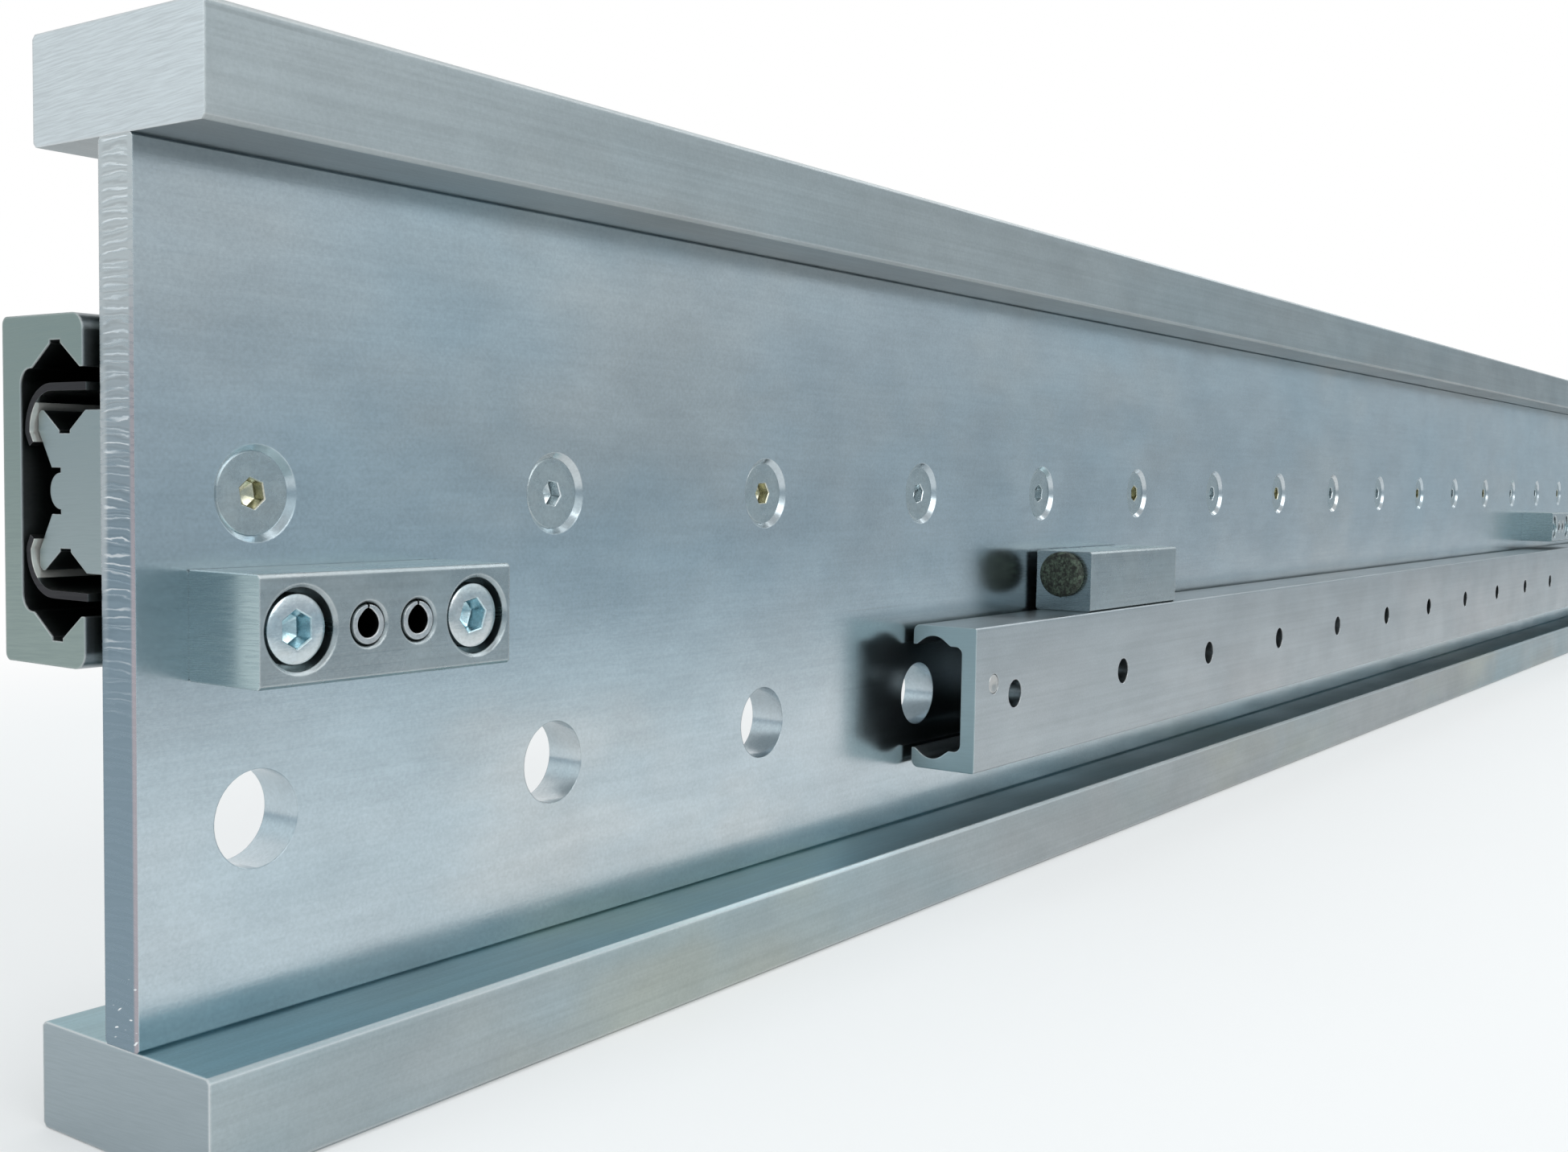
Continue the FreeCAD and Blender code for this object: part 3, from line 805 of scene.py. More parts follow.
class Finish(Enum):
    """The finishes of the rail's pieces."""

    SHEET = SteelFinish(
        "web_zinc", base=(0.53, 0.58, 0.61), cool=(0.455, 0.59, 0.66), warm=(0.63, 0.62, 0.60), bloom=0.5,
        roughness=0.21, rough_spread=0.09, lines_depth=0.05, lines_along=30.0, marks=0.3, wear_and_highlight=0.15,
        relief=0.00001, specks=0.05, end=TornEnd((0.60, 0.63, 0.635), 0.30, BEAM_END))
    BAR = SteelFinish(
        "flange_zinc", base=(0.42, 0.455, 0.465), cool=(0.38, 0.455, 0.485), warm=(0.475, 0.465, 0.445),
        bloom=0.4, grazing=0.75, roughness=0.42, grain_depth=0.08, lines_depth=0.10, marks=0.5,
        edge_radius=0.0006, end=BrushedEnd((0.72, 0.76, 0.775), 0.42, BEAM_END, depth=0.20))
    # The foot's up-facing faces are painted cooler and less red: painted light.
    FOOT = SteelFinish(
        "foot_zinc", base=(0.40, 0.43, 0.44), cool=(0.31, 0.45, 0.50), warm=(0.45, 0.46, 0.39), bloom=0.6,
        grazing=0.8, roughness=0.36, grain_depth=0.08, lines_depth=0.10, marks=0.4, wear_and_highlight=0.85,
        edge_radius=0.0008, painted_top_light=(0.78, 1.0, 1.05),
        end=BrushedEnd((0.37, 0.43, 0.46), 0.34, BEAM_END, depth=0.05))
    RAIL = SteelFinish(
        "rail_zinc", base=(0.435, 0.47, 0.49), cool=(0.415, 0.49, 0.52), warm=(0.505, 0.50, 0.505),
        bloom=0.4, grazing=0.85, roughness=0.33, lines_depth=0.08, recess_shade=0.85, edge_radius=0.0006,
        end=BrushedEnd((0.285, 0.355, 0.337), 0.36, RAIL_END))
    MOVING_RAIL = replace(
        RAIL, name="moving_rail_zinc", end=BrushedEnd((0.50, 0.61, 0.63), 0.36, RAIL_END))
    SLIDER = SteelFinish(
        "slider_zinc", base=(0.50, 0.55, 0.56), bloom=0.3, roughness=0.38, recess_shade=0.9,
        end=BrushedEnd((0.325, 0.39, 0.40), 0.34))
    # The blocks' up-facing faces are painted about 1.45 times as bright: painted light.
    BLOCK = SteelFinish(
        "block_zinc", base=(0.385, 0.43, 0.445), cool=(0.35, 0.435, 0.47), warm=(0.44, 0.435, 0.43),
        bloom=0.4, patches=22.0, roughness=0.28, lines_depth=0.10, edge_radius=0.0005,
        painted_top_light=(1.42, 1.48, 1.44), end=BrushedEnd((0.405, 0.515, 0.535), 0.24))
    BUMPER_BLOCK = replace(
        BLOCK, name="bumper_block_zinc", base=(0.34, 0.385, 0.40), cool=(0.31, 0.385, 0.42),
        warm=(0.395, 0.395, 0.385), end=BrushedEnd((0.34, 0.40, 0.42), 0.24))
    SCREW = SteelFinish(
        "screw_zinc", base=(0.45, 0.505, 0.52), cool=(0.43, 0.515, 0.55), warm=(0.505, 0.515, 0.495),
        bloom=0.3, patches=60.0, roughness=0.28, lines_depth=0.0, grain_depth=0.14, wear_and_highlight=0.3,
        edge_radius=0.0002)
    CAP_SCREW = SteelFinish(
        "cap_screw_zinc", base=(0.60, 0.65, 0.66), bloom=0.4, patches=90.0, roughness=0.22, lines_depth=0.0,
        grain_depth=0.12, wear_and_highlight=0.6, edge_radius=0.0002)
    PIN = SteelFinish(
        "pin_steel", base=(0.50, 0.50, 0.49), bloom=0.2, patches=60.0, roughness=0.35, lines_depth=0.0)
    SPRING = SteelFinish(
        "spring_pin_steel", base=(0.54, 0.56, 0.57), bloom=0.3, patches=120.0, roughness=0.30,
        lines_depth=0.0, grain_depth=0.2, wear_and_highlight=0.5, edge_radius=0.0002, recess_shade=1.0)
    # The cage strip's cut ends are near-black: painted shade.
    CAGE = SteelFinish(
        "cage_sheet", base=(0.30, 0.30, 0.29), bloom=0.2, roughness=0.30, grain_depth=0.05,
        lines_depth=0.04, wear_and_highlight=0.1, edge_radius=0.0001, recess_shade=0.9, end=BrushedEnd((0.03, 0.03, 0.034), 0.4))
    # A pale copy of the cage steel on the strip's bend and hook: a painted highlight for the lit inner side
    # of the bend.
    CAGE_RUBBED = SteelFinish(
        "cage_rubbed", base=(0.86, 0.83, 0.76), bloom=0.2, metallic=0.6, roughness=0.20, grain_depth=0.05,
        lines_depth=0.04, wear_and_highlight=0.0)
    BALL = SteelFinish(
        "ball_steel", base=(0.80, 0.80, 0.81), bloom=0.1, roughness=0.07, rough_spread=0.03,
        grain_depth=0.02, lines_depth=0.0, marks=0.1, wear_and_highlight=0.0)
    RUBBER = RubberFinish("bumper_rubber", dark=(0.016, 0.018, 0.015), worn=(0.088, 0.125, 0.087))


class SocketTint(Enum):
    """The tint that plating leaves inside a screw's socket."""

    CLEAR = (0.62, 0.68, 0.70)
    YELLOW = (0.58, 0.57, 0.44)
    BLUE = (0.52, 0.68, 0.73)

    def finish(self) -> SteelFinish:
        """Gives the plating in this tint."""
        return SteelFinish(
            f"socket_{self.name.lower()}", base=self.value, cool=self.value, patches=200.0, bloom=0.3,
            roughness=0.24, lines_depth=0.0, grain_depth=0.16, wear_and_highlight=0.3, edge_radius=0.00015)


class Palette:
    """The material of every finish, each built once."""

    def __init__(self) -> None:
        """Builds the shared effects and then each material."""
        effects = Effects()
        self.made: dict[Enum, bpy.types.Material] = {each: each.value.material(effects) for each in Finish}
        self.made |= {tint: tint.finish().material(effects) for tint in SocketTint}

    def __getitem__(self, finish: Finish | SocketTint) -> bpy.types.Material:
        """Gives the material of a finish."""
        return self.made[finish]


def dress(node: str, material: bpy.types.Material) -> None:
    """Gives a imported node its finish.

    Args:
        node: The node's name.
        material: Its finish.
    """
    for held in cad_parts[node].material_slots:
        held.material = material
    log.info("dressed %s in %s", node, material.name)


def add_piece(
    mesh: bpy.types.Mesh, body: Body, slot: str, *materials: bpy.types.Material
) -> bpy.types.Object:
    """Adds a piece that rides on a body and has its mesh's name.

    Args:
        mesh: Its mesh, in the part's frame.
        body: What it rides on.
        slot: The record's material slot. It is not used.
        *materials: The finishes that its faces use.

    Returns:
        The piece.
    """
    made = bpy.data.objects.new(mesh.name, mesh)
    bpy.context.scene.collection.objects.link(made)
    for material in materials:
        mesh.materials.append(material)
    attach(made, body.value)
    log.info("piece %s rides on %s", made.name, body.value)
    return made


def to_mesh(name: str, bm: bmesh.types.BMesh, sharp: float = SHARP_ANGLE) -> bpy.types.Mesh:
    """Turns a bmesh into a smooth-shaded mesh with sharp edges.

    Args:
        name: The mesh's name.
        bm: What is turned, and freed.
        sharp: The angle from which an edge is sharp, in degrees.

    Returns:
        The mesh.
    """
    bmesh.ops.recalc_face_normals(bm, faces=bm.faces[:])
    mesh = bpy.data.meshes.new(name)
    bm.to_mesh(mesh)
    bm.free()
    mesh.shade_smooth()
    mesh.set_sharp_from_angle(angle=math.radians(sharp))
    return mesh


def cut_away(name: str, body: bpy.types.Mesh, tools: bpy.types.Mesh) -> bpy.types.Mesh:
    """Cuts one mesh out of another.

    Args:
        name: The new mesh's name.
        body: What is cut.
        tools: What is cut out of it.

    Returns:
        The cut mesh.
    """
    plain, cutter = (bpy.data.objects.new(mesh.name, mesh) for mesh in (body, tools))
    for made in (plain, cutter):
        bpy.context.scene.collection.objects.link(made)
    cut = plain.modifiers.new("cut", "BOOLEAN")
    cut.operation = "DIFFERENCE"
    cut.object = cutter
    bpy.context.view_layer.update()
    done = bpy.data.meshes.new_from_object(plain.evaluated_get(bpy.context.evaluated_depsgraph_get()))
    for made in (plain, cutter):
        bpy.data.objects.remove(made)
    done.name = name
    done.set_sharp_from_angle(angle=math.radians(SHARP_ANGLE))
    return done


@dataclass(frozen=True)
class Turning:
    """Rings about an axis that are skinned into a turned solid, in millimetres from an origin."""

    origin: Vector
    axis: Vector
    side: Vector
    steps: int = 48

    def place(self, radius: float, turn: float, depth: float) -> Vector:
        """Gives the point at a radius, a turn in radians and a depth along the axis."""
        out = self.side * math.cos(turn) + self.axis.cross(self.side) * math.sin(turn)
        return self.origin + (self.axis * depth + out * radius) * MM

    def _ring(self, bm: bmesh.types.BMesh, at: Point, hexagon: bool) -> list[bmesh.types.BMVert]:
        """Adds one ring of points.

        Args:
            bm: Where the points go.
            at: The ring's radius, or half a hexagon's width across its flats, and its depth.
            hexagon: Whether the ring follows a hexagon.

        Returns:
            The ring's points.
        """
        radius, depth = at
        points = []
        for i in range(self.steps):
            turn = math.tau * i / self.steps
            from_flat = (turn % (math.pi / 3)) - math.pi / 6
            reach = radius / math.cos(from_flat) if hexagon else radius
            points.append(bm.verts.new(self.place(reach, turn, depth)))
        return points

    def solid(
        self, bm: bmesh.types.BMesh, circles: Sequence[Point], ends: Span, hexagons: Sequence[Point] = ()
    ) -> None:
        """Skins hexagons and then circles, and closes both ends at points on the axis.

        Args:
            bm: Where the solid goes.
            circles: Each circle's radius and depth.
            ends: The depth of the point before the first ring and of the one after the last.
            hexagons: Half the width across flats and the depth of each ring of a socket, which takes the
                second finish.
        """
        marked = len(hexagons)
        rings = [self._ring(bm, at, i < marked) for i, at in enumerate((*hexagons, *circles))]
        first, last = (bm.verts.new(self.place(0.0, 0.0, depth)) for depth in ends)
        for i in range(self.steps):
            j = (i + 1) % self.steps
            bm.faces.new((first, rings[0][i], rings[0][j])).material_index = int(marked > 0)
            bm.faces.new((last, rings[-1][j], rings[-1][i]))
            for band, (inner, outer) in enumerate(zip(rings, rings[1:]), start=1):
                face = bm.faces.new((inner[i], outer[i], outer[j], inner[j]))
                face.material_index = int(band < marked)


@dataclass(frozen=True)
class SocketScrew:
    """A hexagon socket screw, in millimetres."""

    kind: HeadKind
    head: float
    shank: float
    length: float
    hexagon: float
    hexagon_depth: float
    head_height: float = 0.0
    rim: float = 0.25
    lead_in: float = 0.22
    seat_gap: float = 0.03
    drill_point: float = 0.5
    cap_rims: float = 3.0
    cap_bulge: float = 0.3

    def circles(self) -> list[Point]:
        """Gives the radius and depth of each circle of the head and the shank.

        Returns:
            The circles, from the face of the head to the tip.
        """
        radius, shank = self.head / 2 - self.seat_gap, self.shank / 2 - self.seat_gap
        if self.kind is HeadKind.CAP:
            edge = self.cap_rims * self.rim
            bulge = self.cap_bulge * edge
            head = [(radius - edge, 0.0), (radius - bulge, bulge), (radius, edge)]
            head += [(radius, self.head_height), (shank, self.head_height)]
        else:
            head = [(radius - self.rim, 0.0), (radius, self.rim), (shank, radius - shank + self.rim)]
        return head + [(shank, self.length - self.rim), (shank - self.rim, self.length)]

    def mesh(self, name: str, top: Vector, axis: Vector, turn: float) -> bpy.types.Mesh:
        """Builds the screw.

        Args:
            name: The mesh's name.
            top: The middle of the head's face.
            axis: The way that the screw points.
            turn: How far its socket is turned, in radians.

        Returns:
            The mesh. The socket takes the second finish.
        """
        flat = self.hexagon / 2
        hexagons = ((flat, self.hexagon_depth), (flat, self.lead_in), (flat + self.lead_in, 0.0))
        ends = (self.hexagon_depth + flat * self.drill_point, self.length)
        bm = bmesh.new()
        lathe = Turning(top, axis, Matrix.Rotation(turn, 3, axis) @ TO_RIGHT)
        lathe.solid(bm, self.circles(), ends, hexagons)
        return to_mesh(name, bm)


@dataclass
class Beam:
    """The I-beam: its dressed plates and the screws that hold its two sliders, in millimetres."""

    palette: Palette
    length: float = 1890.0
    first_hole: float = 25.0
    slider_length: float = 1250.0
    back_pitch: float = 80.0
    front_pitch: float = 240.0
    head_recess: float = 1.1
    first_turn: float = 0.35
    next_turn: float = 1.9
    screw: SocketScrew = SocketScrew(
        HeadKind.COUNTERSUNK, head=16.0, shank=8.0, length=8.85, hexagon=5.0, hexagon_depth=3.0)
    tints: tuple[SocketTint, ...] = (
        SocketTint.YELLOW, SocketTint.CLEAR, SocketTint.YELLOW, SocketTint.CLEAR, SocketTint.CLEAR)

    def build(self) -> None:
        """Dresses the plates and sliders, and sets both rows of screws."""
        dress("web_plate", self.palette[Finish.SHEET])
        dress("bottom_flange", self.palette[Finish.FOOT])
        dress("top_flange", self.palette[Finish.BAR])
        for node in ("back_slider", "front_slider"):
            dress(node, self.palette[Finish.SLIDER])
        left = -self.length / 2
        self._row("back_slider_screw", left, self.back_pitch, BACK_ROW, 1)
        self._row("front_slider_screw", -left - self.slider_length, self.front_pitch, FRONT_ROW, -1)

    def _row(self, name: str, start: float, pitch: float, height: float, way: int) -> None:
        """Sets one row of countersunk screws.

        Args:
            name: The start of each screw's name.
            start: Where the slider starts.
            pitch: The distance between screws.
            height: The row's height.
            way: 1 for screws that point to the back and -1 for the front.
        """
        count = int((self.slider_length - 2 * self.first_hole) / pitch) + 1
        face = way * (self.head_recess - HALF_WEB)
        for i in range(count):
            top = Vector((start + self.first_hole + pitch * i, face, height)) * MM
            turn = self.first_turn + self.next_turn * i
            mesh = self.screw.mesh(f"{name}_{i + 1:02d}", top, TO_BACK * way, turn)
            socket = self.palette[self.tints[i % len(self.tints)]]
            add_piece(mesh, Body.BEAM, "block_steel", self.palette[Finish.SCREW], socket)


@dataclass(frozen=True)
class SpringPin:
    """A slotted spring pin: a tube rolled from sheet with a tapered end, in millimetres."""

    radius: float = 3.98
    length: float = 19.6
    wall: float = 1.5
    taper: float = 0.7
    taper_depth: float = 0.4
    lip: float = 0.15
    slit: float = 0.5
    peak: float = 0.5
    peak_spread: float = 0.45
    steps: int = 48

    def outline(self, from_slit: float) -> list[Point]:
        """Gives the section of the tube's wall.

        Args:
            from_slit: The angle from the slit, in radians.

        Returns:
            The radius and depth of each corner.
        """
        bore = self.radius - self.wall + self.peak * math.exp(-((from_slit / self.peak_spread) ** 2))
        tip = self.radius - self.taper_depth
        outside = [(self.radius, self.length), (self.radius, self.taper), (tip, 0.0)]
        return outside + [(bore + self.lip, 0.0), (bore, self.lip), (bore, self.length)]

    def mesh(self, name: str, tip: Vector, axis: Vector) -> bpy.types.Mesh:
        """Builds the pin with its slit at the top.

        Args:
            name: The mesh's name.
            tip: The middle of the tapered end.
            axis: The way that the pin points into its hole.

        Returns:
            The mesh.
        """
        lathe = Turning(tip, axis, UPWARD)
        bm = bmesh.new()
        half_slit = self.slit / 2 / self.radius
        walls = []
        for i in range(self.steps + 1):
            turn = half_slit + (math.tau - 2 * half_slit) * i / self.steps
            wall = self.outline(min(turn, math.tau - turn))
            walls.append([bm.verts.new(lathe.place(radius, turn, depth)) for radius, depth in wall])
        for one, two in zip(walls, walls[1:]):
            for i, corner in enumerate(one):
                j = (i + 1) % len(one)
                bm.faces.new((corner, one[j], two[j], two[i]))
        bm.faces.new(walls[0])
        bm.faces.new(walls[-1][::-1])
        return to_mesh(name, bm)


@dataclass
class StopBlocks:
    """The two stop blocks on the web, their cap screws and their spring pins, in millimetres."""

    palette: Palette
    screw_spacing: float = 42.4
    pin_spacing: float = 12.0
    head_recess: float = 1.2
    pin_recess: float = 0.1
    first_turn: float = 0.5
    next_turn: float = 0.35
    screw: SocketScrew = SocketScrew(
        HeadKind.CAP, head=13.0, shank=8.0, length=18.75, hexagon=6.0, hexagon_depth=4.0, head_height=8.0)
    pin: SpringPin = SpringPin()

    def build(self) -> None:
        """Dresses the blocks and sets their screws and pins."""
        for name in ("left", "right"):
            node = f"{name}_stop_block"
            dress(node, self.palette[Finish.BLOCK])
            low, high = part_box(node)
            face = Vector(((low.x + high.x) / 2, low.y, (low.z + high.z) / 2))
            for i, way in enumerate((-1, 1)):
                top = face + Vector((way * self.screw_spacing / 2, self.head_recess, 0.0)) * MM
                turn = self.first_turn + self.next_turn * i
                screw = self.screw.mesh(f"{name}_stop_screw_{i + 1}", top, TO_BACK, turn)
                add_piece(screw, Body.BEAM, "block_steel",
                          self.palette[Finish.CAP_SCREW], self.palette[SocketTint.BLUE])
                tip = face + Vector((way * self.pin_spacing / 2, self.pin_recess, 0.0)) * MM
                pin = self.pin.mesh(f"{name}_stop_spring_pin_{i + 1}", tip, TO_BACK)
                add_piece(pin, Body.BEAM, "pin_steel", self.palette[Finish.SPRING])


@dataclass(frozen=True)
class RailPin:
    """A plain pin with broken rims and a dimpled end, in millimetres."""

    radius: float = 2.98
    rim: float = 0.3
    rim_depth: float = 0.02
    dimple: Point = (0.9, 0.25)
    dimple_lip: Point = (1.5, 0.05)
    steps: int = 32

    def mesh(self, name: str, low: Vector, high: Vector) -> bpy.types.Mesh:
        """Builds the pin.

        Args:
            name: The mesh's name.
            low: The low corner of its box.
            high: The high corner of its box.

        Returns:
            The mesh.
        """
        length = (high.y - low.y) / MM
        inner = self.radius - self.rim
        circles = [self.dimple, self.dimple_lip, (inner, self.rim_depth), (self.radius, self.rim)]
        circles += [(self.radius, length - self.rim), (inner, length)]
        middle = Vector(((low.x + high.x) / 2, low.y, (low.z + high.z) / 2))
        bm = bmesh.new()
        Turning(middle, TO_BACK, TO_RIGHT, self.steps).solid(bm, circles, (self.dimple[1], length))
        return to_mesh(name, bm)


@dataclass(frozen=True)
class RubberPad:
    """A crowned rubber pad with a moulding tag at its rim, in millimetres."""

    radius: float = 7.48
    rounding: float = 1.3
    crown: float = 0.35
    crown_rings: tuple[float, ...] = (0.2, 0.4, 0.6, 0.75)
    bend_steps: int = 6
    foot_height: float = 0.4
    foot_draft: float = 0.3
    tag_radius: float = 0.55
    tag_depth: float = 1.9
    tag_drop: float = 7.2
    tag_detail: int = 2

    def circles(self, thick: float) -> list[Point]:
        """Gives the radius and depth of each circle of a pad.

        Args:
            thick: The pad's thickness.

        Returns:
            The circles, from its face to its foot.
        """
        made = [(self.radius * share, self.crown * share * share) for share in self.crown_rings]
        for i in range(self.bend_steps + 1):
            turn = math.pi / 2 * i / self.bend_steps
            out = self.radius - self.rounding + self.rounding * math.sin(turn)
            made.append((out, self.crown + self.rounding * (1 - math.cos(turn))))
        return made + [(self.radius, thick - self.foot_height), (self.radius - self.foot_draft, thick)]

    def mesh(self, name: str, low: Vector, high: Vector, facing: float) -> bpy.types.Mesh:
        """Builds the pad.

        Args:
            name: The mesh's name.
            low: The low corner of its box.
            high: The high corner of its box.
            facing: The way that it faces along X.

        Returns:
            The mesh.
        """
        thick = (high.x - low.x) / MM
        middle = (low + high) / 2
        face = Vector((low.x if facing < 0 else high.x, middle.y, middle.z))
        bm = bmesh.new()
        Turning(face, TO_RIGHT * -facing, TO_BACK).solid(bm, self.circles(thick), (0.0, thick))
        tag = Matrix.Translation(face + Vector((-facing * self.tag_depth, 0.0, -self.tag_drop)) * MM)
        size = self.tag_radius * MM
        bmesh.ops.create_icosphere(bm, subdivisions=self.tag_detail, radius=size, matrix=tag)
        return to_mesh(name, bm)


@dataclass
class MovingRailTop:
    """The moving rail, its pin, and the bumper block with two rubber bumpers."""

    palette: Palette
    pin: RailPin = RailPin()
    pad: RubberPad = RubberPad()

    def build(self) -> None:
        """Dresses the rail and its block, and makes the pin and the bumpers."""
        dress("moving_rail", self.palette[Finish.MOVING_RAIL])
        dress("bumper_block", self.palette[Finish.BUMPER_BLOCK])
        pin = self.pin.mesh("dimpled_pin", *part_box("rail_pin"))
        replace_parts(add_piece(pin, Body.MOVING_RAIL, "pin_steel", self.palette[Finish.PIN]), "rail_pin")
        for node, facing in (("left_bumper", -1.0), ("right_bumper", 1.0)):
            pad = self.pad.mesh(node + "_pad", *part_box(node), facing)
            piece = add_piece(pad, Body.MOVING_RAIL, "bumper_rubber", self.palette[Finish.RUBBER])
            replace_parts(piece, node)


@dataclass(frozen=True)
class GuideSection:
    """The section of a ball guide, in millimetres out from the web's face and up from its row."""

    side: int
    row: float
    groove_reach: float
    groove_rise: float
    ball_radius: float
    nose_reach: float
    nose_height: float
    wall_reach: float
    strip: float
    strip_front: float
    hook_turn: float = 30.0
    hook_tail: float = 2.0
    bend_steps: int = 8

    def point(self, x: float, at: Point, half: Half) -> Vector:
        """Gives a point of the part from its place along the rail and in this section."""
        return Vector((x, self.side * (HALF_WEB + at[0]), self.row + half.value * at[1])) * MM

    def ball(self, x: float, half: Half) -> Matrix:
        """Gives the place of a ball's middle."""
        return Matrix.Translation(self.point(x, (self.groove_reach, self.groove_rise), half))

    def _arc(self, middle: Point, radius: float, start: float, end: float) -> list[Point]:
        """Gives an arc.

        Args:
            middle: The arc's middle.
            radius: Its radius.
            start: The angle that it starts at, in degrees from straight out.
            end: The angle that it ends at.

        Returns:
            The arc's points.
        """
        made = []
        for i in range(self.bend_steps + 1):
            turn = math.radians(start + (end - start) * i / self.bend_steps)
            made.append((middle[0] + radius * math.cos(turn), middle[1] + radius * math.sin(turn)))
        return made

    def strip_outline(self) -> list[Point]:
        """Gives the outline of a cage strip, which bends round the slider's nose and hooks behind it.

        Returns:
            The outline's corners: the inner face and then the outer one back.
        """
        room = (self.wall_reach - self.nose_reach - self.strip) / 2
        under = self.groove_rise - self.strip / 2
        knee = self.nose_height / 2
        bend = under - knee
        corner = (self.nose_reach + room - bend, knee)
        turn = math.radians(self.hook_turn)
        faces: list[list[Point]] = []
        for extra in (0.0, self.strip):
            path = [(self.strip_front, under + extra)]
            path += self._arc(corner, bend + extra, 90.0, 0.0)
            path += self._arc((self.nose_reach, knee), room + extra, 0.0, -self.hook_turn)
            reach, rise = path[-1]
            path.append((reach - self.hook_tail * math.sin(turn), rise - self.hook_tail * math.cos(turn)))
            faces.append(path)
        return faces[0] + faces[1][::-1]

    def takes_painted_highlight(self, side: int) -> bool:
        """Tells whether a side of the outline is on the bend or the hook, which takes the painted
        highlight.
        """
        return self.bend_steps // 2 < side <= 2 * self.bend_steps + 2


BACK_SECTION = GuideSection(
    side=1, row=BACK_ROW, groove_reach=11.1, groove_rise=18.6, ball_radius=6.9, nose_reach=19.3,
    nose_height=21.8, wall_reach=22.3, strip=1.4, strip_front=2.2)
FRONT_SECTION = GuideSection(
    side=-1, row=FRONT_ROW, groove_reach=8.5, groove_rise=12.6, ball_radius=5.5, nose_reach=15.4,
    nose_height=14.4, wall_reach=18.2, strip=1.2, strip_front=1.4)


@dataclass
class BallGuide:
    """The balls and cage strips of one guide, in millimetres."""

    name: str
    palette: Palette
    body: Body
    section: GuideSection
    balls: int = 48
    ball_rings: tuple[int, int] = (24, 14)
    ball_sharp: float = 60.0
    end_margin: float = 34.0
    pocket_gap: float = 0.2
    pocket_steps: int = 32
    pocket_strips: int = 4
    span: Span = field(init=False)

    def __post_init__(self) -> None:
        """Reads where the cages stand along the rail."""
        low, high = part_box(f"{self.name}_upper_cage")
        self.span = (low.x / MM, high.x / MM)

    def build(self) -> None:
        """Makes both cages and their balls."""
        for half in Half:
            self._cage(half)
            self._balls(half)

    def places(self) -> list[float]:
        """Gives the places of the balls along the rail."""
        start, end = self.span[0] + self.end_margin, self.span[1] - self.end_margin
        return [start + (end - start) * i / (self.balls - 1) for i in range(self.balls)]

    def _strip(self, half: Half) -> bpy.types.Mesh:
        """Makes a cage strip without its pockets.

        Args:
            half: Which half of the guide it is in.

        Returns:
            The mesh. Its sides on the bend and the hook take the second finish, a painted highlight.
        """
        bm = bmesh.new()
        outline = self.section.strip_outline()
        ends = [[bm.verts.new(self.section.point(x, at, half)) for at in outline] for x in self.span]
        bm.faces.new(ends[0])
        bm.faces.new(ends[1][::-1])
        for i in range(len(outline)):
            j = (i + 1) % len(outline)
            face = bm.faces.new((ends[0][i], ends[1][i], ends[1][j], ends[0][j]))
            face.material_index = int(self.section.takes_painted_highlight(i))
        return to_mesh("plain_strip", bm)

    def _pockets(self, half: Half) -> bpy.types.Mesh:
        """Makes the round tool that cuts each ball's pocket.

        Args:
            half: Which half of the guide it is in.

        Returns:
            The tools, as one mesh.
        """
        bm = bmesh.new()
        radius = (self.section.ball_radius + self.pocket_gap) * MM
        depth = self.pocket_strips * self.section.strip * MM
        for x in self.places():
            bmesh.ops.create_cone(bm, cap_ends=True, segments=self.pocket_steps, radius1=radius,
                                  radius2=radius, depth=depth, matrix=self.section.ball(x, half))
        return to_mesh("pockets", bm)

    def _cage(self, half: Half) -> None:
        """Makes one cage strip with a round pocket for each ball.

        Args:
            half: Which half of the guide it is in.
        """
        node = f"{self.name}_{half.name.lower()}_cage"
        mesh = cut_away(node + "_strip", self._strip(half), self._pockets(half))
        materials = (self.palette[Finish.CAGE], self.palette[Finish.CAGE_RUBBED])
        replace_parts(add_piece(mesh, self.body, "cage_steel", *materials), node)

    def _balls(self, half: Half) -> None:
        """Makes one row of balls.

        Args:
            half: Which half of the guide it is in.
        """
        node = f"{self.name}_{half.name.lower()}_balls"
        bm = bmesh.new()
        around, along = self.ball_rings
        radius = self.section.ball_radius * MM
        for x in self.places():
            bmesh.ops.create_uvsphere(bm, u_segments=around, v_segments=along, radius=radius,
                                      matrix=self.section.ball(x, half))
        mesh = to_mesh(node + "_row", bm, self.ball_sharp)
        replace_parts(add_piece(mesh, self.body, "ball_steel", self.palette[Finish.BALL]), node)


@dataclass(frozen=True)
class PhotoCamera:
    """A camera where the photograph was taken from."""

    centre: Place = (-1.11533, -0.26233, 0.12364)
    turn: Place = (0.06397, -0.95493, -0.01408)
    focal_pixels: float = 2076.98
    sensor: float = 36.0
    clip_start: float = 0.01

    def build(self) -> None:
        """Makes the camera and gives it to the scene."""
        turn = Vector(self.turn)
        level = Matrix(((1, 0, 0), (0, 0, -1), (0, 1, 0)))
        flip = Matrix.Diagonal((1, -1, -1))
        facing = (flip @ Matrix.Rotation(turn.length, 3, turn.normalized()) @ level).transposed()
        data = bpy.data.cameras.new("photo_camera")
        data.sensor_width = self.sensor
        data.sensor_fit = "HORIZONTAL"
        data.lens = self.focal_pixels / PHOTO_WIDTH * self.sensor
        data.clip_start = self.clip_start
        made = bpy.data.objects.new("photo_camera", data)
        made.matrix_world = Matrix.Translation(self.centre) @ facing.to_4x4()
        bpy.context.scene.collection.objects.link(made)
        bpy.context.scene.camera = made


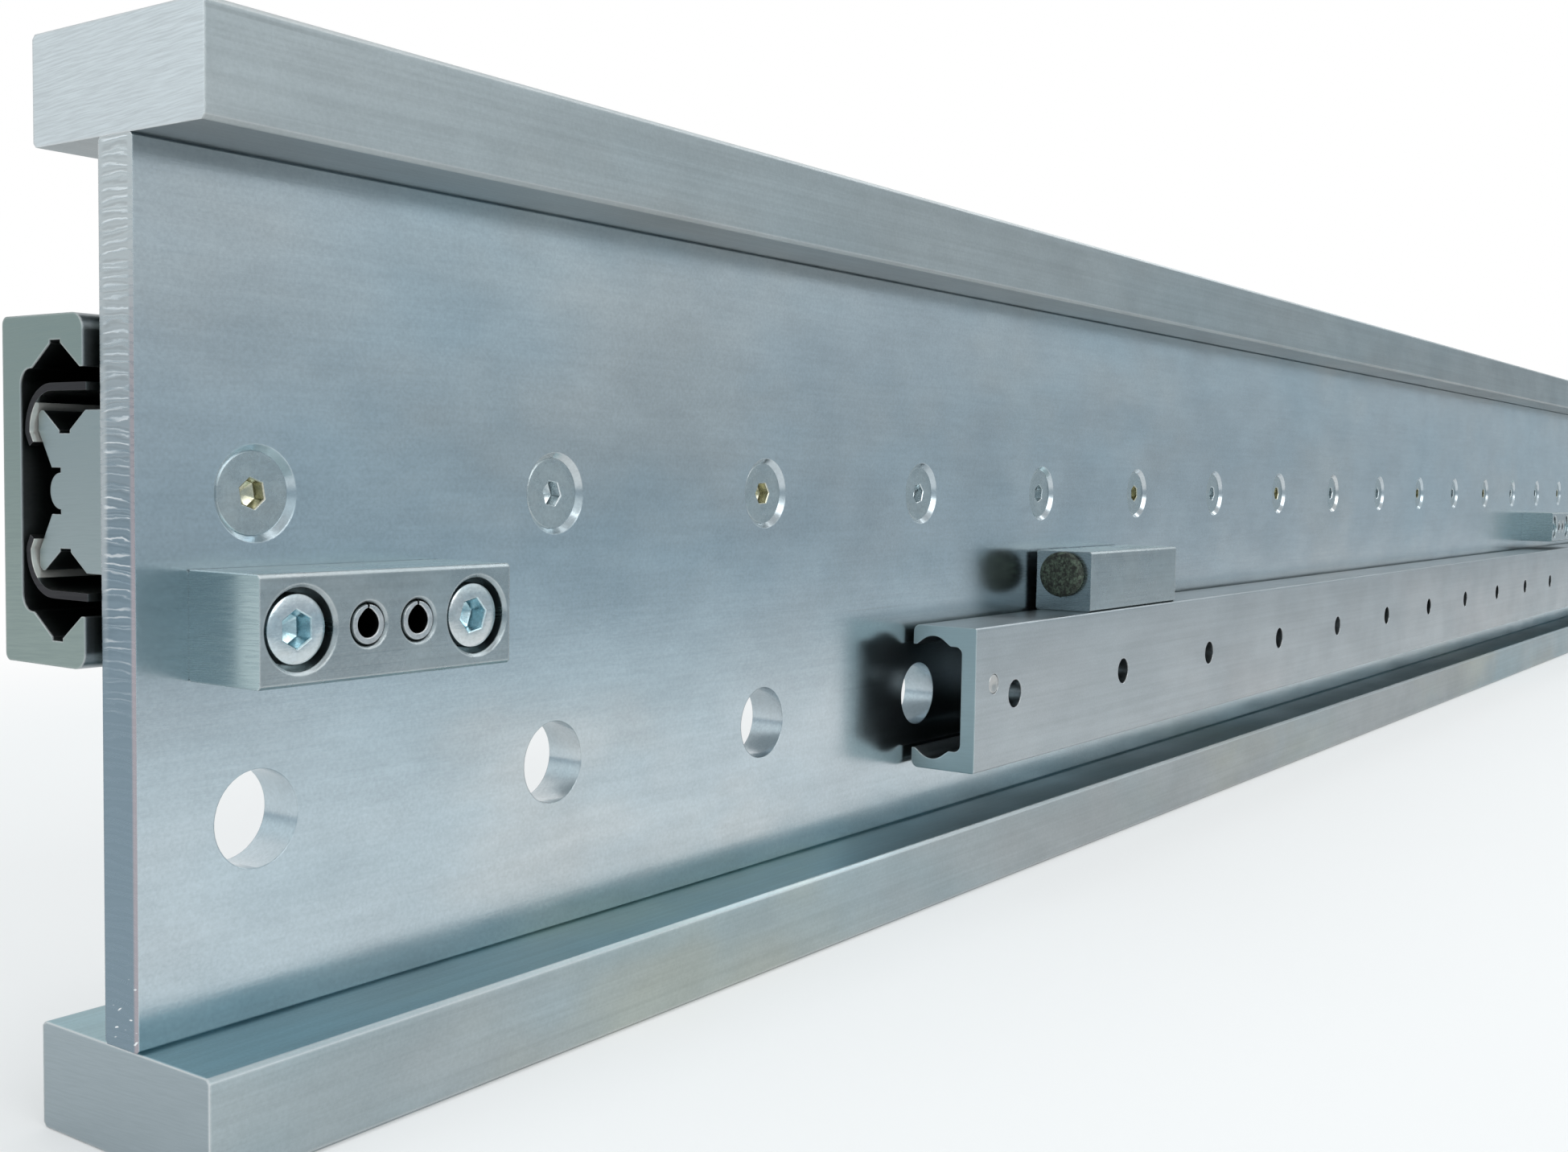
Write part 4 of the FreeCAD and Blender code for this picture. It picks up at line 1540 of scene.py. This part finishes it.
@dataclass(frozen=True)
class Softbox:
    """A large soft lamp."""

    name: str
    at: Place
    aim: Place
    width: float
    height: float
    power: float

    def build(self) -> None:
        """Hangs the lamp."""
        data = bpy.data.lights.new(self.name, "AREA")
        data.shape = "RECTANGLE"
        data.size = self.width
        data.size_y = self.height
        data.energy = self.power
        made = bpy.data.objects.new(self.name, data)
        made.location = self.at
        made.rotation_euler = (Vector(self.aim) - Vector(self.at)).to_track_quat("-Z", "Y").to_euler()
        bpy.context.scene.collection.objects.link(made)


@dataclass
class Studio:
    """A pale studio that turns greyer in front of the rail and past its left end, and soft lamps."""

    floor_size: float = 60.0
    floor_drop: float = 0.0002
    floor_colour: Colour = (0.85, 0.86, 0.86)
    floor_roughness: float = 0.75
    mottle_scale: float = 3.0
    mottle_span: Span = (0.3, 0.7)
    mottle_shade: Span = (0.985, 1.0)
    lit_share: float = 0.7
    half_length: float = 1.0
    pale_edge: Span = (0.10, 0.72)
    end_pace: float = 0.35
    end_spread: float = 0.30
    front_turn: float = 0.09
    front_spread: float = 0.12
    shadow_edge: Span = (0.40, 0.85)
    pale: Colour = WHITE
    room_low: Colour = (0.42, 0.50, 0.55)
    room_high: Colour = (0.82, 0.89, 0.92)
    ceiling: Colour = (0.62, 0.64, 0.65)
    wall_rise: Span = (0.0, 0.27)
    ceiling_rise: Span = (0.40, 0.80)
    pale_across: Span = (0.004, 0.078)
    pale_along: Span = (-0.60, -0.20)
    least_level: float = 0.001
    lamps: tuple[Softbox, ...] = (
        Softbox("key_softbox", (-0.9, -2.0, 1.3), (-0.5, 0.0, 0.1), width=1.8, height=1.4, power=16.0),
        Softbox("end_softbox", (-2.6, 0.3, 1.4), (-0.9, 0.0, 0.15), width=1.6, height=1.6, power=6.0),
        Softbox("edge_softbox", (2.0, -0.4, 1.9), (-0.3, 0.0, 0.1), width=1.4, height=0.9, power=8.0),
        Softbox("top_softbox", (0.0, -0.2, 1.7), (0.0, -0.2, 0.0), width=2.6, height=0.8, power=9.0),
    )

    def build(self) -> None:
        """Makes the floor, the room, the lamps and the view's colours."""
        self._floor()
        self._room()
        for lamp in self.lamps:
            lamp.build()
        bpy.context.scene.view_settings.view_transform = "Standard"

    @staticmethod
    def _seen(w: Wiring) -> Socket:
        """Gives 1 for what the camera, a reflection or a clear piece looks at, and 0 for other light."""
        path = w.node("ShaderNodeLightPath").outputs
        return w.larger(path["Is Camera Ray"], path["Is Glossy Ray"], path["Is Transmission Ray"])

    @staticmethod
    def _length(w: Wiring, x: Wire, y: Wire) -> Socket:
        """Gives the length of a level direction from its two parts."""
        return w.math("SQRT", w.plus(w.times(x, x), w.times(y, y)))

    def _pale(self, w: Canvas) -> Socket:
        """Gives 1 on the pale floor round and behind the rail, and 0 in front of it and past its left end.

        Args:
            w: The floor's material.

        Returns:
            How pale the floor is.
        """
        right = w.larger(w.x, 0.0)
        back = w.larger(w.y, 0.0)
        past_left = w.larger(w.less(w.times(w.x, -1.0), self.half_length), 0.0)
        in_front = w.larger(w.less(w.times(right, self.front_turn), w.y), 0.0)
        end_width = w.plus(w.times(back, self.end_spread), 1.0)
        front_width = w.plus(w.times(right, self.front_spread), 1.0)
        beside = w.math("DIVIDE", w.times(past_left, self.end_pace), end_width)
        before = w.math("DIVIDE", in_front, front_width)
        return w.band(self._length(w, beside, before), self.pale_edge, (1.0, 0.0))

    def _lit(self, w: Canvas) -> Socket:
        """Gives the share of the floor's own light and shadow, less with distance from the rail."""
        past_end = w.larger(w.less(w.math("ABSOLUTE", w.x), self.half_length), 0.0)
        return w.band(self._length(w, past_end, w.y), self.shadow_edge, (self.lit_share, 0.0))

    def _floor(self) -> None:
        """Lays the floor, pale round and behind the rail and fading into the room's own colour."""
        bm = bmesh.new()
        bmesh.ops.create_grid(bm, x_segments=1, y_segments=1, size=self.floor_size / 2)
        mesh = bpy.data.meshes.new("floor")
        bm.to_mesh(mesh)
        bm.free()
        made = bpy.data.objects.new("floor", mesh)
        made.location.z = -self.floor_drop
        bpy.context.scene.collection.objects.link(made)
        w = Canvas("pale_floor")
        mottle = w.noise(w.place, self.mottle_scale, Pattern.FLOOR)
        shade = w.band(mottle, self.mottle_span, self.mottle_shade)
        mesh.materials.append(
            w.shaded(Base_Color=w.tone(self.floor_colour, shade), Roughness=self.floor_roughness))
        pale = self._pale(w)
        fade = w.less(1.0, w.times(pale, self._lit(w)))
        glow = w.node("ShaderNodeEmission", Color=w.mix(pale, self.room_low, self.pale))
        both = w.node("ShaderNodeMixShader", Fac=w.times(fade, self._seen(w)))
        w.feed(both.inputs[1], w.shader.outputs[0])
        w.feed(both.inputs[2], glow.outputs[0])
        w.feed(w.tree.nodes["Material Output"].inputs["Surface"], both.outputs[0])

    def _room(self) -> None:
        """Makes the room: pale behind the rail, where the photograph looks, and greyer elsewhere."""
        world = bpy.data.worlds.new("plain_room")
        bpy.context.scene.world = world
        world.use_nodes = True
        w = Wiring(world.node_tree)
        x, y, z = w.split(w.node("ShaderNodeTexCoord").outputs["Generated"])
        walls = w.mix(w.band(z, self.wall_rise), self.room_low, self.room_high)
        room = w.mix(w.band(z, self.ceiling_rise), walls, self.ceiling)
        level = w.larger(self._length(w, x, y), self.least_level)
        behind = w.band(w.math("DIVIDE", y, level), self.pale_across)
        ahead = w.band(w.math("DIVIDE", x, level), self.pale_along)
        window = w.times(behind, ahead, self._seen(w))
        w.feed(world.node_tree.nodes["Background"].inputs["Color"], w.mix(window, room, self.pale))


def main() -> None:
    """Builds the dressed rail and its studio."""
    logging.basicConfig(level=logging.INFO, format="%(name)s: %(message)s")
    palette = Palette()
    dress("fixed_rail", palette[Finish.RAIL])
    Beam(palette).build()
    StopBlocks(palette).build()
    MovingRailTop(palette).build()
    BallGuide("back", palette, Body.BACK_CAGES, BACK_SECTION).build()
    BallGuide("front", palette, Body.FRONT_CAGES, FRONT_SECTION).build()
    Studio().build()
    PhotoCamera().build()


if __name__ == "__main__":
    main()
